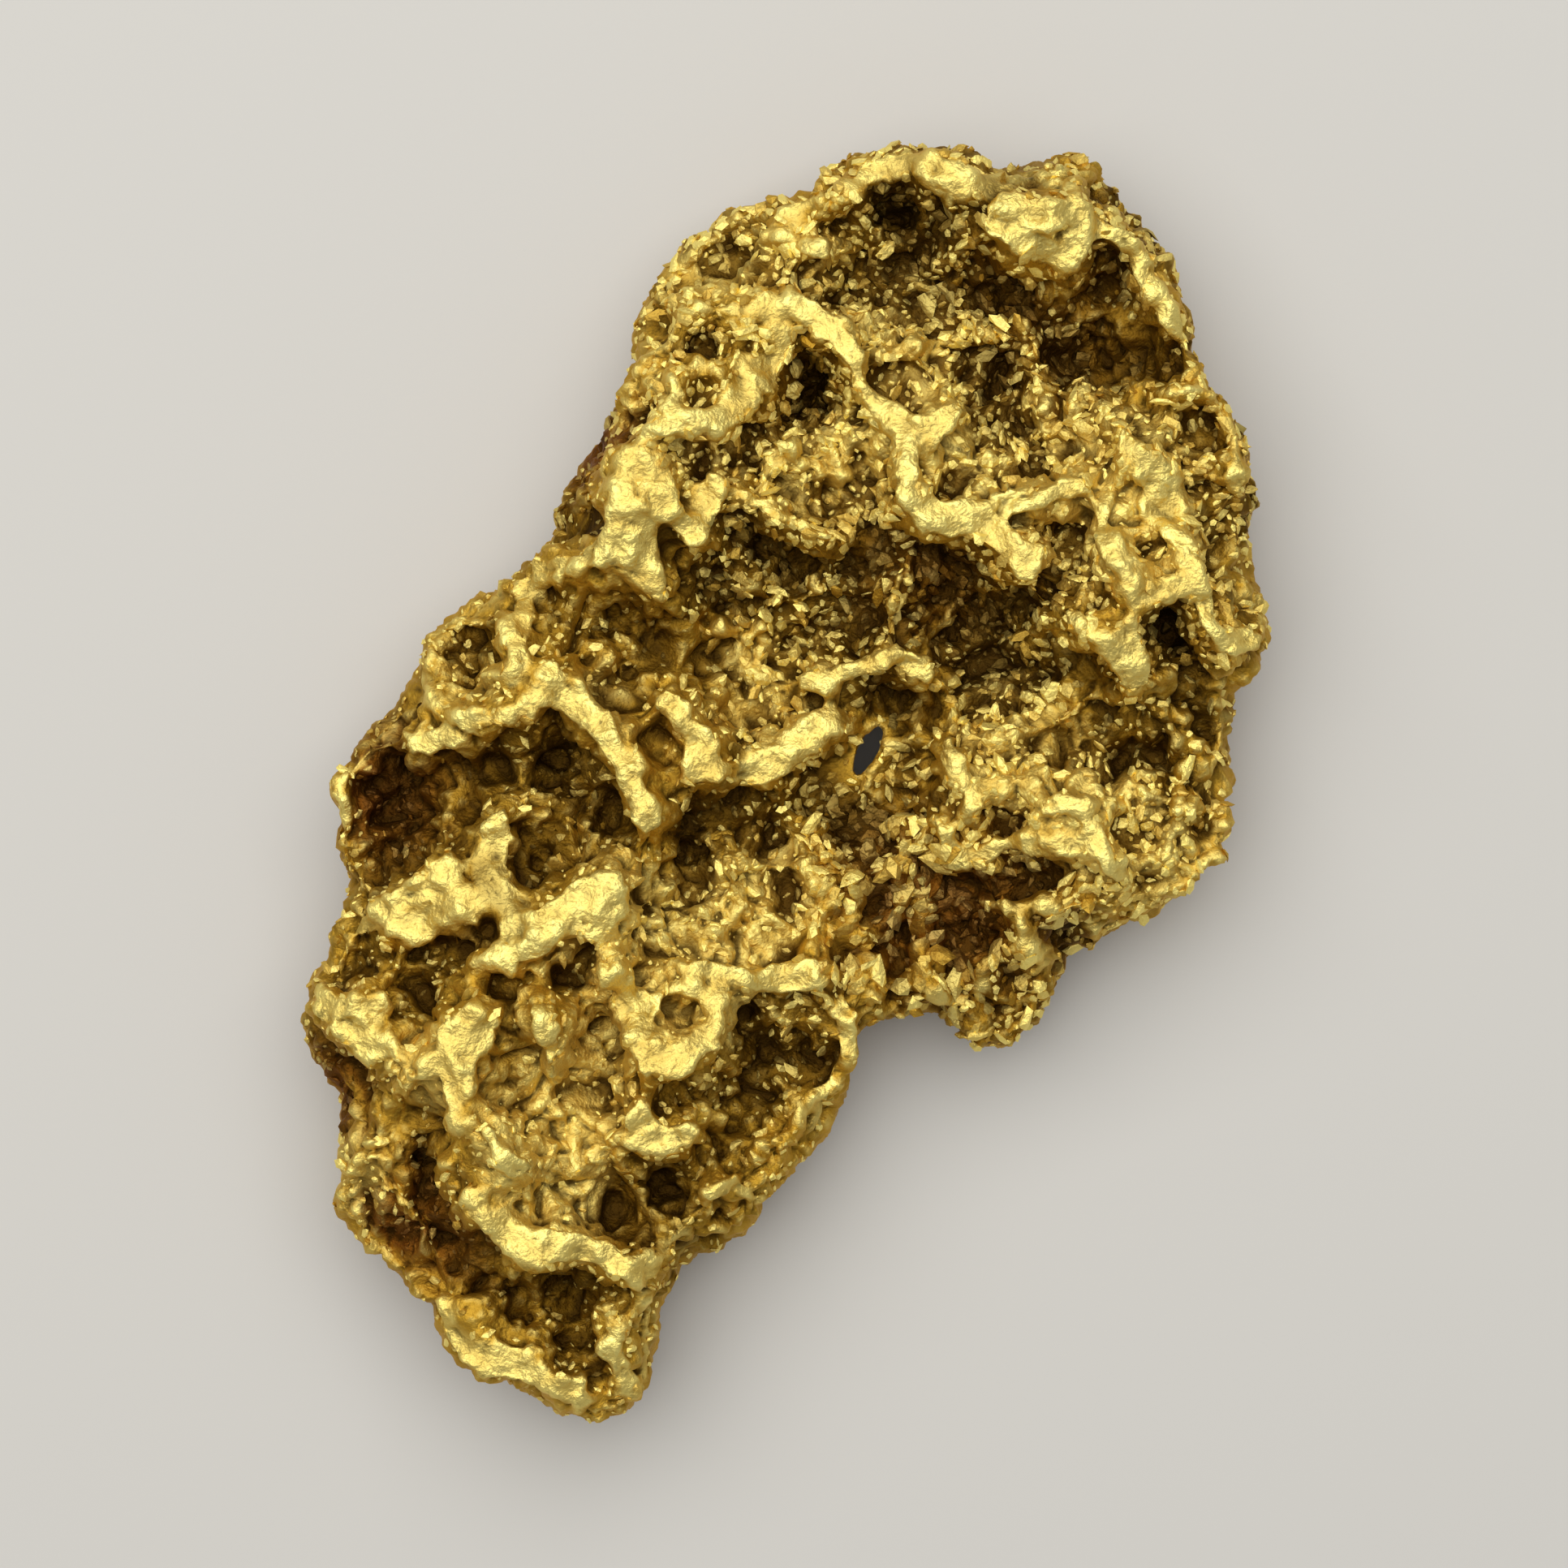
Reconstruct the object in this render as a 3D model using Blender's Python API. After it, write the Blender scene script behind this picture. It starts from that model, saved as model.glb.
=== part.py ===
"""A natural gold nugget, 33 mm corner to corner, lying on its flatter back.

It formed as one piece of metal, so it is one solid: a thick, waisted flake whose face is a net of
river-worn ridges standing over rough, unworn hollows, with one small hole right through its waist.

All the shapes are worked out in millimetres: +X across the nugget, +Y along it, +Z up from the
surface that it lies on. The finished mesh is scaled to metres at the end.
"""

import itertools
import math

import bmesh
import bpy
import numpy as np
from mathutils import Matrix

MM = 0.001  # metres in a millimetre

# Driving dimensions, in millimetres.
RIM_HEIGHT = 2.5  # height of the widest line of the nugget above what it lies on
FACE_HEIGHT = 5.3  # height of the worn ridges of the face, before its swells
BACK_HEIGHT = 1.0  # mean height of the back above what the nugget lies on
FACE_TURN = 1.3  # how far in from the outline the face rounds over
BACK_TURN = 2.6  # how far in from the outline the back rounds over
RIM_WALL = 0.40  # half the height of the blunt edge itself
FLOOR_DEPTH = 0.55  # how far the rough floor lies below the worn ridges, before its pits
RIDGE_BROW = (-0.03, 0.42)  # where a ridge's steep brow starts and ends, out from its half-width
RIDGE_APRON = (0.15, 1.35)  # where the gentler apron below the brow starts and ends
APRON_SHARE = 0.36  # how much of a ridge's height its apron has
RIDGE_SADDLES = (1.7, 0.30)  # how far apart the saddles along the ridges are, and their share of the height
LEAST_WALL = 0.8  # metal kept between the face and the back; it thins to nothing as the edge rounds over

# How the surface wanders, in millimetres.
RIDGE_STRAY = ((1.1, 0.12), (0.5, 0.05))  # size and height of what ridges stray from their lines
FLOOR_STRAY = ((1.6, 0.30), (0.7, 0.14))  # the same for hollows and mounds, which are less even
FLOOR_LUMPS = ((1.3, 0.34), (0.65, 0.24))  # size and height of the lumps on the rough floor
FLOOR_PITS = ((2.2, 0.95), (1.2, 0.50))  # size and depth of the pits that crowd the rough floor
CREST_LUMPS = ((2.4, 0.26), (1.1, 0.16))  # size and height of the rise and fall of the ridges' tops
BACK_LUMPS = ((4.0, 0.45), (1.8, 0.32), (0.9, 0.16))  # the same on the back
SKIN_LUMPS = ((1.6, 0.15), (0.8, 0.09))  # the same all over, pushed out along the surface
RIM_LUMPS = ((7.0, 0.55), (2.6, 0.40))  # the same for the height of the widest line
DENTS = (2.0, 0.75)  # size and depth of the dents in the sides, which stay off the widest line

# Mesh sizes.
BLANK_GRAIN = 0.22  # side of a quad of the blank, in millimetres
SOLID_GRAIN = 0.20  # side of a quad of the carved solid, in millimetres
TRIANGLES = 9400  # most triangles left in the finished solid
LINE_STEPS = 4  # straight steps drawn between two points of a curved line

# The outline, as seen from above, round from the crown to its left.
OUTLINE = [
    # crown, left of its notch
    (4.4, 15.65), (3.8, 15.7), (3.2, 15.7), (2.4, 15.62), (1.8, 15.52), (1.4, 15.33),
    (1.0, 15.0), (0.6, 14.62), (0.0, 14.47), (-0.6, 14.45), (-1.1, 14.3), (-1.75, 14.18),
    (-2.1, 13.8), (-2.5, 13.4), (-2.8, 13.0), (-3.1, 12.75), (-3.35, 12.5), (-3.5, 12.0),
    (-3.62, 11.4), (-3.65, 10.9), (-3.9, 10.4), (-4.1, 9.9), (-4.3, 9.4), (-4.55, 9.0),
    # left shoulder
    (-4.8, 8.4), (-5.0, 8.0), (-5.3, 7.6), (-5.5, 7.2), (-5.45, 6.7), (-5.5, 6.25),
    (-6.0, 5.9), (-6.4, 5.45), (-6.8, 5.0), (-7.2, 4.72), (-7.9, 4.42), (-8.5, 4.1),
    (-8.9, 3.6), (-9.05, 3.0), (-9.1, 2.5), (-9.4, 2.1), (-9.75, 1.75),
    # left flank
    (-10.1, 1.38), (-10.6, 1.05), (-11.0, 0.6), (-11.15, 0.0), (-11.12, -0.8),
    (-11.1, -1.5), (-10.95, -2.1), (-10.72, -2.6), (-10.78, -3.2), (-10.95, -3.9),
    (-11.3, -4.5), (-11.7, -5.05), (-11.83, -5.5), (-11.88, -6.1), (-11.72, -6.7),
    (-11.4, -7.4), (-11.08, -8.0), (-11.0, -8.8), (-11.05, -9.6), (-11.1, -10.4),
    (-10.8, -10.9), (-10.3, -11.4), (-9.7, -11.9), (-9.2, -12.5), (-8.72, -12.95),
    # foot
    (-8.5, -13.5), (-8.2, -14.1), (-7.7, -14.52), (-7.0, -14.87), (-6.3, -15.2),
    (-5.6, -15.5), (-4.9, -15.7), (-4.2, -15.52), (-3.55, -15.25), (-3.3, -14.8),
    (-3.1, -14.2), (-3.05, -13.5), (-3.0, -13.1), (-2.8, -12.6), (-2.7, -12.2),
    (-2.4, -11.88), (-2.0, -11.52), (-1.4, -11.25), (-0.9, -10.9), (-0.4, -10.4),
    (-0.1, -9.9), (0.4, -9.6), (0.9, -9.1), (1.1, -8.55), (1.6, -8.0), (1.85, -7.3),
    # notch and spur
    (1.95, -6.6), (2.0, -6.05), (2.15, -5.82), (2.6, -5.8), (3.4, -5.85), (4.2, -5.82),
    (4.42, -6.05), (4.5, -6.4), (4.9, -6.72), (5.3, -6.7), (5.7, -6.42), (6.1, -6.02),
    (6.45, -5.7), (6.6, -5.3), (6.6, -4.95), (6.9, -4.6), (7.3, -4.15), (7.8, -3.82),
    # right flank
    (8.5, -3.55), (9.2, -3.1), (9.7, -2.75), (10.2, -2.38), (10.6, -1.9), (10.95, -1.42),
    (11.05, -0.9), (11.07, -0.2), (11.05, 0.4), (11.0, 1.0), (11.0, 1.7), (11.05, 2.3),
    (11.4, 2.68), (11.75, 2.92), (11.9, 3.3), (11.86, 3.9), (11.7, 4.5), (11.5, 5.0),
    (11.45, 5.7), (11.5, 6.2), (11.66, 6.8), (11.76, 7.4), (11.66, 7.9), (11.47, 8.4),
    (11.4, 8.8), (11.2, 9.4), (10.9, 9.9), (10.5, 10.5), (10.3, 11.0), (10.0, 11.5),
    # crown, right of its notch
    (9.7, 11.95), (9.6, 12.5), (9.52, 13.1), (9.35, 13.5), (9.0, 14.0), (8.6, 14.5),
    (8.2, 14.95), (7.95, 15.3), (7.6, 15.55), (7.0, 15.62), (6.5, 15.5), (6.2, 15.24),
    (5.6, 15.2), (5.0, 15.22), (4.7, 15.48),
]

# Broad swells of the face: x, y, radius, rise.
SWELLS = [
    (-6.8, -7.5, 5.0, 1.20),  # the thick lower lobe, nearest to the eye
    (-3.4, 8.2, 3.2, 0.80),  # left shoulder
    (-4.0, 0.5, 3.0, 0.40),
    (3.0, 7.5, 2.5, 0.40),  # under the spine
    (7.9, 5.5, 2.6, 0.60),  # under the twin bars
    (5.5, 13.8, 3.0, 0.40),  # crown
    (1.8, 1.4, 3.0, -0.85),  # the thin waist round the hole
    (5.0, -4.6, 3.2, -0.80),
    (5.4, -6.0, 1.4, -0.60),  # the spur's knob hangs low
    (-9.8, -0.2, 1.8, -0.45),
    (-5.6, -14.2, 2.4, -0.90),  # foot
    (-9.4, -12.0, 1.8, -0.80),
    (0.8, -7.4, 2.3, -0.80),
    (-1.6, 13.2, 2.2, -0.55),  # thin upper left edge
]

# Broad basins of the rough floor, which the ridges stand over: x, y, radius, depth.
BASINS = [
    (7.6, 10.9, 2.1, 0.85), (3.2, 12.2, 1.9, 0.45), (5.4, 8.6, 1.4, 0.35), (0.9, 9.6, 1.3, 0.60),
    (1.4, 4.9, 2.6, 0.90), (5.9, 4.0, 1.9, 0.70), (-5.9, 0.3, 1.7, 0.70), (-8.6, 3.2, 1.2, 0.35),
    (-5.0, -6.6, 1.8, 0.50), (-6.0, -12.5, 2.0, 0.60), (-1.6, -8.4, 1.8, 0.40), (9.6, 3.4, 1.2, 0.40),
    (5.0, -2.6, 1.6, 0.45), (-8.2, -4.2, 1.4, 0.35), (10.2, 8.6, 1.1, 0.35),
]

# Places where the edge slopes away more gently: x, y, radius, extra width of the slope.
EASY_EDGES = [
    (-11.0, -2.4, 3.4, 1.2), (-10.4, -10.4, 3.0, 1.5), (-6.5, -14.6, 3.0, 0.9), (-0.8, -9.6, 2.6, 0.9),
    (-7.6, 4.6, 2.6, 0.7), (-2.6, 13.6, 2.6, 0.9), (11.4, -0.6, 2.6, 0.6), (5.6, -6.0, 2.2, 0.9),
]

# Worn ridges: half-width where it starts, half-width where it ends, points.
RIDGES = {
    "crown_left": (0.20, 0.22, [(0.2, 13.95), (0.9, 14.2), (1.5, 14.4), (1.9, 14.85), (2.7, 15.05)]),
    "crown_bar": (0.24, 0.26, [(3.1, 15.25), (3.8, 14.85), (4.8, 14.78), (5.6, 14.7), (6.3, 14.75),
                               (7.0, 14.4)]),
    "crown_hook": (0.14, 0.20, [(-0.4, 13.4), (0.2, 13.3), (0.6, 13.1), (0.9, 12.95)]),
    "brow": (0.22, 0.24, [(5.1, 13.35), (5.7, 13.05), (6.2, 12.75), (6.7, 12.6), (7.05, 12.85),
                          (7.4, 13.3), (8.1, 13.35), (8.65, 13.05), (8.75, 12.5), (9.0, 12.05)]),
    "brow_end": (0.20, 0.30, [(9.0, 12.0), (9.3, 11.5), (9.65, 11.05)]),
    "brow_top": (0.24, 0.24, [(5.3, 13.7), (6.2, 13.75), (6.9, 13.9), (7.5, 13.6), (8.0, 13.5)]),
    "edge_bead": (0.18, 0.26, [(10.1, 10.2), (10.4, 9.8), (10.75, 9.3)]),
    "edge_shelf": (0.16, 0.14, [(9.3, 9.4), (9.8, 9.6), (10.3, 9.65)]),
    "edge_bar": (0.18, 0.26, [(11.0, 8.2), (11.1, 7.6), (11.15, 7.1)]),
    "slab": (0.30, 0.34, [(8.15, 8.35), (8.5, 7.9), (8.9, 7.5), (9.2, 7.15), (9.25, 6.75)]),
    "slab_tail": (0.20, 0.12, [(9.3, 6.5), (9.5, 6.0), (9.7, 5.4), (9.88, 4.8)]),
    "slab_crossing": (0.14, 0.14, [(9.9, 4.75), (9.4, 4.6), (8.9, 4.4), (8.5, 4.35)]),
    "bar": (0.24, 0.26, [(7.4, 7.1), (7.6, 6.7), (7.8, 6.1), (7.95, 5.5), (8.15, 4.9), (8.3, 4.3)]),
    "bar_pad": (0.22, 0.34, [(8.3, 3.8), (8.4, 3.2), (8.5, 2.45)]),
    "bar_shelf": (0.20, 0.14, [(7.4, 7.15), (6.9, 7.1), (6.2, 6.85), (5.5, 6.95)]),
    "bar_foot": (0.16, 0.20, [(6.9, 4.1), (7.4, 3.75), (7.8, 3.35), (8.0, 2.9)]),
    "box_side": (0.18, 0.24, [(9.95, 4.6), (10.2, 4.0), (10.5, 3.5), (10.8, 3.25), (11.3, 3.5)]),
    "spine_head": (0.26, 0.22, [(0.55, 11.35), (0.9, 11.2), (1.3, 10.85), (1.55, 10.4)]),
    "spine_neck": (0.15, 0.16, [(1.55, 10.4), (1.75, 9.9), (1.8, 9.4), (2.1, 9.0)]),
    "spine": (0.28, 0.16, [(2.1, 9.0), (2.6, 8.6), (2.95, 8.1), (2.85, 7.4), (3.05, 6.9)]),
    "spine_foot": (0.20, 0.42, [(3.05, 6.9), (3.5, 6.5), (4.1, 6.3), (4.7, 6.1), (5.3, 5.75),
                                (5.85, 5.35)]),
    "spine_branch": (0.24, 0.22, [(2.6, 8.7), (3.2, 8.55), (3.7, 8.6), (4.2, 9.05)]),
    "left_arch": (0.20, 0.22, [(-3.95, 9.5), (-3.5, 10.3), (-3.0, 10.85), (-2.2, 11.3), (-1.3, 11.5),
                               (-0.5, 11.3), (0.0, 10.85)]),
    "arch_roof": (0.22, 0.22, [(-2.6, 11.35), (-1.6, 11.6), (-0.6, 11.5), (0.3, 11.5)]),
    "loop_wall": (0.20, 0.24, [(-3.0, 10.6), (-2.65, 10.1), (-2.55, 9.5), (-2.6, 9.0), (-2.1, 8.8)]),
    "cluster_edge": (0.34, 0.26, [(-0.4, 10.0), (-0.75, 9.6), (-1.0, 9.2), (-1.5, 8.9), (-1.75, 8.5)]),
    "cluster_foot": (0.22, 0.24, [(-3.2, 8.45), (-2.6, 8.65), (-2.0, 8.85)]),
    "cluster_web": (0.16, 0.14, [(-2.0, 10.1), (-1.5, 9.9), (-1.1, 10.1), (-0.9, 10.3)]),
    "shoulder_top": (0.30, 0.26, [(-4.3, 7.9), (-3.7, 7.75), (-3.2, 7.7), (-2.9, 7.3), (-2.8, 6.6)]),
    "shoulder_bar": (0.22, 0.34, [(-4.8, 7.1), (-4.1, 7.2), (-3.75, 6.7), (-3.8, 6.1), (-4.05, 5.5)]),
    "shoulder_finger": (0.16, 0.24, [(-3.3, 6.1), (-3.25, 5.5), (-3.15, 4.8)]),
    "hook": (0.22, 0.20, [(-2.4, 6.2), (-2.1, 6.05), (-1.8, 6.35), (-1.7, 6.8), (-1.8, 7.25)]),
    "shoulder_rim": (0.16, 0.20, [(-6.4, 4.9), (-5.9, 5.35), (-5.4, 5.45), (-4.9, 5.6)]),
    "mound_lip": (0.14, 0.12, [(-0.95, 7.05), (-0.5, 6.75), (0.2, 6.35), (0.75, 6.0), (1.2, 5.95)]),
    "waist_lip": (0.14, 0.14, [(0.5, 2.65), (1.2, 2.6), (1.8, 2.85), (2.4, 3.15), (2.9, 3.2),
                               (3.4, 2.75)]),
    "waist_crest": (0.22, 0.20, [(-0.85, 0.15), (-0.3, 0.5), (0.25, 0.8), (0.5, 1.2), (1.2, 1.6)]),
    "finger": (0.30, 0.34, [(-2.9, 1.95), (-2.4, 1.6), (-2.1, 1.2), (-1.9, 0.75), (-1.8, 0.35)]),
    "long_bar": (0.24, 0.36, [(-5.7, 2.8), (-5.4, 2.3), (-5.0, 1.8), (-4.5, 1.35), (-4.1, 0.8),
                              (-3.7, 0.2), (-3.45, -0.4), (-3.2, -0.75)]),
    "cell_top": (0.16, 0.18, [(-8.4, 4.0), (-7.8, 4.3), (-7.1, 4.55)]),
    "cell_right": (0.18, 0.22, [(-6.6, 4.1), (-6.7, 3.6), (-6.4, 3.0), (-6.8, 2.4)]),
    "cell_foot": (0.22, 0.20, [(-9.0, 2.35), (-8.4, 1.95), (-7.9, 1.6), (-7.1, 1.6), (-6.4, 1.8),
                               (-5.9, 2.2)]),
    "flank_lump": (0.28, 0.26, [(-8.9, 0.95), (-8.3, 1.1)]),
    "flank_rim": (0.14, 0.14, [(-9.4, 1.85), (-10.1, 1.15), (-10.7, 0.75), (-10.95, 0.1),
                               (-10.9, -0.8)]),
    "wavy_wall": (0.15, 0.20, [(-7.1, -0.9), (-7.05, -1.7), (-6.9, -2.4), (-6.55, -2.9), (-6.4, -3.4)]),
    "pillow_edge": (0.14, 0.30, [(-6.9, -4.15), (-6.1, -3.95), (-5.4, -3.6), (-4.7, -3.2), (-4.0, -2.9)]),
    "pillow_top": (0.34, 0.40, [(-5.7, -3.2), (-4.9, -2.7), (-4.3, -2.4)]),
    "flank_step": (0.22, 0.18, [(-10.4, -3.5), (-9.7, -3.3), (-9.1, -3.5), (-8.4, -3.3), (-7.7, -2.95)]),
    "flank_step_top": (0.16, 0.16, [(-9.3, -2.8), (-8.7, -2.5), (-8.1, -2.1)]),
    "knuckle_a": (0.30, 0.26, [(-11.3, -5.25), (-10.7, -5.4), (-10.0, -5.4)]),
    "knuckle_b": (0.26, 0.30, [(-10.6, -5.9), (-10.0, -6.35), (-9.5, -6.3)]),
    "fang_root": (0.26, 0.24, [(-8.0, -5.9), (-8.1, -6.4), (-8.6, -6.95), (-9.0, -7.15)]),
    "fang": (0.42, 0.16, [(-7.75, -7.0), (-7.8, -7.6), (-7.75, -8.4)]),
    "lobe_knob": (0.34, 0.30, [(-7.4, -5.75), (-7.15, -6.05)]),
    "thorn": (0.16, 0.20, [(-5.8, -5.3), (-5.7, -5.9), (-5.55, -6.4)]),
    "curl": (0.26, 0.40, [(-4.2, -4.4), (-3.8, -4.9), (-3.4, -5.4), (-3.25, -6.1), (-3.0, -6.6),
                          (-2.5, -6.7)]),
    "curl_end": (0.34, 0.24, [(-2.5, -6.7), (-2.0, -6.3), (-1.7, -5.7), (-1.75, -5.2), (-2.3, -4.9)]),
    "tongue": (0.22, 0.28, [(-2.3, -4.3), (-1.5, -4.35), (-0.8, -4.6), (-0.1, -4.75), (0.7, -4.62)]),
    "crescent": (0.26, 0.26, [(-3.4, -8.15), (-3.15, -8.6), (-2.8, -8.75), (-2.4, -8.4)]),
    "chin": (0.34, 0.28, [(-7.4, -10.35), (-6.9, -10.5), (-6.4, -11.0), (-6.0, -11.25), (-5.3, -11.25),
                          (-4.8, -11.3), (-4.1, -11.5)]),
    "chin_end": (0.20, 0.26, [(-4.1, -11.5), (-3.5, -11.7), (-2.9, -11.75), (-2.3, -11.5)]),
    "chin_fold": (0.16, 0.20, [(-7.0, -8.4), (-6.7, -8.9), (-6.3, -9.1)]),
    "edge_crescent": (0.20, 0.20, [(-1.7, -10.05), (-1.2, -9.8), (-0.75, -10.15)]),
    "foot_rim": (0.22, 0.28, [(-8.25, -12.9), (-8.15, -13.5), (-7.6, -13.9), (-7.0, -14.1),
                              (-6.3, -14.2), (-5.7, -14.6), (-5.2, -14.75)]),
    "foot_toe": (0.26, 0.22, [(-4.3, -13.6), (-4.05, -14.0), (-3.8, -14.6)]),
    "foot_side": (0.14, 0.16, [(-3.1, -12.7), (-3.3, -13.3), (-3.35, -14.2)]),
    "wavy_lip": (0.14, 0.14, [(3.9, 0.65), (4.3, 0.4), (4.5, 0.0), (4.65, -0.5)]),
    "collar": (0.16, 0.20, [(3.9, -1.1), (4.1, -1.5), (4.5, -1.8), (5.0, -1.65), (5.6, -1.4),
                            (6.2, -1.4), (6.9, -1.6)]),
    "collar_top": (0.16, 0.18, [(6.2, -0.65), (6.7, -0.5), (7.2, -0.7), (7.5, -1.3), (7.9, -1.9),
                                (8.4, -2.4)]),
    "low_shelf": (0.18, 0.22, [(6.5, -3.0), (7.0, -3.1), (7.5, -3.5), (7.9, -3.6)]),
    "low_bar": (0.14, 0.16, [(6.1, -4.0), (6.5, -4.4), (6.8, -4.7)]),
    "cup_rim": (0.12, 0.12, [(5.3, -2.9), (5.75, -3.3), (5.7, -3.9), (5.3, -4.3), (4.95, -4.8),
                             (4.6, -5.3), (4.1, -5.5), (3.6, -5.2)]),
    "notch_lump": (0.20, 0.24, [(1.35, -5.75), (1.5, -6.2), (1.6, -6.5)]),
    "notch_drop": (0.16, 0.18, [(1.05, -7.6), (1.0, -8.3)]),
}

# Hollows between the ridges: x, y, half-length, half-breadth, turn in degrees, depth.
HOLLOWS = [
    (2.5, 14.15, 1.0, 0.70, -15, 1.30), (5.5, 14.25, 1.3, 0.22, 0, 0.80),
    (4.0, 14.0, 0.8, 0.45, -30, 0.80), (0.3, 13.0, 0.7, 0.22, -20, 0.60),
    (7.7, 12.4, 0.8, 0.65, 0, 1.15), (5.9, 12.1, 0.9, 0.45, -25, 0.70),
    (9.2, 10.8, 0.7, 0.45, -50, 0.95), (2.5, 12.2, 0.35, 0.35, 0, 0.70),
    (1.7, 11.6, 0.3, 0.3, 0, 0.60), (5.6, 10.3, 0.5, 0.35, 40, 0.70),
    (5.0, 9.4, 0.4, 0.6, 0, 0.60), (10.3, 8.9, 0.85, 0.28, -20, 0.80),
    (7.7, 7.8, 0.3, 0.3, 0, 0.60), (10.3, 6.0, 0.4, 0.5, 0, 0.60),
    (10.8, 6.6, 0.3, 0.25, 0, 0.50), (8.85, 6.2, 0.6, 0.2, 0, 0.70),
    (8.8, 5.3, 0.4, 0.5, 0, 0.60), (6.8, 5.9, 0.45, 0.55, 0, 1.00),
    (6.6, 4.9, 0.6, 0.4, 0, 0.80), (9.5, 3.65, 0.75, 0.62, 0, 1.30),
    (10.2, 2.6, 0.5, 0.3, 20, 0.60), (8.1, 1.6, 0.55, 0.5, 20, 1.10),
    (0.85, 9.8, 0.85, 0.75, 0, 1.50), (-0.7, 8.5, 0.75, 0.35, 35, 0.90),
    (-2.25, 7.5, 0.3, 0.8, 0, 1.10), (-2.5, 8.2, 0.6, 0.22, 15, 0.90),
    (-3.25, 9.95, 0.4, 0.4, 0, 0.60), (-3.8, 8.7, 0.35, 0.38, 0, 1.00),
    (-0.8, 10.7, 0.32, 0.4, 30, 0.80), (-1.9, 10.5, 0.35, 0.3, 0, 0.45),
    (-2.25, 9.45, 0.22, 0.18, 0, 0.60), (2.1, 7.8, 0.55, 0.85, 20, 0.90),
    (0.0, 5.75, 1.5, 0.55, -20, 1.20), (2.6, 6.2, 0.6, 0.5, 0, 0.90),
    (4.5, 5.5, 0.7, 0.45, -30, 0.70), (5.2, 4.5, 0.75, 0.7, 0, 1.10),
    (6.8, 3.2, 1.05, 0.4, -45, 1.30), (3.5, 4.1, 0.45, 0.4, 0, 0.60),
    (-4.3, 3.9, 0.95, 0.55, 15, 1.30), (-5.6, 4.4, 0.6, 0.5, 20, 0.90),
    (-4.95, 6.4, 0.6, 0.3, 10, 0.55), (-1.9, 3.6, 0.22, 0.4, 0, 0.50),
    (-8.0, 3.4, 0.95, 0.75, 10, 0.85), (-7.7, 2.2, 0.5, 0.2, -20, 0.50),
    (-3.0, 1.2, 0.32, 0.42, 0, 1.05), (2.6, 2.15, 1.2, 0.65, 15, 1.00),
    (2.1, 0.85, 0.65, 1.0, -25, 0.80), (-9.7, -0.1, 1.15, 1.1, 0, 0.90),
    (-6.6, 0.8, 1.2, 0.4, 20, 1.00), (-4.2, -0.7, 0.5, 0.6, 20, 1.10),
    (-4.6, 0.6, 0.5, 0.4, 0, 0.80), (-7.5, -2.3, 0.5, 0.35, 0, 0.80),
    (-7.7, -3.7, 0.8, 0.4, 0, 1.00), (-5.5, -4.45, 1.6, 0.35, 12, 1.10),
    (-10.0, -4.3, 0.8, 0.45, 0, 0.55), (-8.8, -5.1, 0.9, 0.3, 0, 0.60),
    (-1.5, -0.4, 1.2, 0.26, 0, 0.95), (-2.5, -1.0, 0.5, 0.35, 0, 0.95),
    (-2.3, -1.9, 0.6, 0.4, 0, 0.70), (-0.5, -2.95, 0.7, 0.18, 0, 0.60),
    (1.1, -0.8, 0.5, 0.35, 0, 0.60), (5.4, -2.4, 1.0, 0.6, 0, 1.20),
    (3.8, -2.4, 0.45, 0.5, 0, 0.90), (4.7, -3.3, 0.3, 0.6, 0, 0.80),
    (6.8, -3.75, 0.6, 0.4, -20, 0.80), (5.5, -4.6, 0.5, 0.35, 40, 0.70),
    (4.3, -4.8, 0.5, 0.5, 0, 0.40), (9.2, 0.9, 0.65, 0.4, 0, 0.90),
    (10.4, -0.6, 0.5, 0.3, 0, 0.60), (8.3, -2.9, 0.6, 0.3, -10, 0.60),
    (-4.6, -6.1, 0.8, 0.95, 0, 1.00), (-6.5, -7.1, 0.5, 0.9, 0, 1.00),
    (-5.6, -8.6, 0.6, 0.28, -10, 0.50), (-10.7, -7.0, 0.75, 0.5, -15, 0.90),
    (-11.35, -6.1, 0.28, 0.32, 0, 0.40), (-9.6, -5.85, 0.35, 0.2, 0, 0.60),
    (-6.0, -12.4, 2.0, 0.75, 0, 1.00), (-9.4, -11.6, 1.0, 0.45, -35, 0.60),
    (-4.2, -10.4, 0.5, 0.5, 0, 1.15), (-2.9, -9.9, 0.32, 0.75, 0, 1.00),
    (-2.8, -7.5, 0.65, 0.32, 0, 0.95), (-0.9, -5.6, 0.5, 0.5, 0, 1.05),
    (0.15, -5.3, 0.8, 0.3, 10, 0.90), (0.6, -6.6, 0.7, 0.35, 0, 0.60),
    (-0.4, -7.8, 0.5, 0.4, 0, 0.45), (-1.4, -10.6, 0.6, 0.32, 25, 0.80),
    (-4.5, -14.5, 0.3, 0.45, 15, 0.70), (-2.1, -5.6, 0.22, 0.25, 0, 0.50),
    (-1.6, -4.95, 0.5, 0.15, -25, 0.60),
]

# Trenches, which are long hollows: half-width, depth, points.
TRENCHES = [
    (0.30, 1.10, [(-8.5, -7.5), (-8.5, -8.6), (-8.5, -9.6), (-8.2, -10.6), (-7.9, -11.6), (-7.6, -12.2)]),
    (0.16, 0.60, [(-7.0, 0.1), (-7.4, -0.6), (-7.3, -1.4), (-7.2, -2.1)]),
    (0.15, 0.50, [(2.95, 6.0), (2.95, 5.2), (3.0, 4.2), (2.95, 3.6)]),
]

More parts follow.
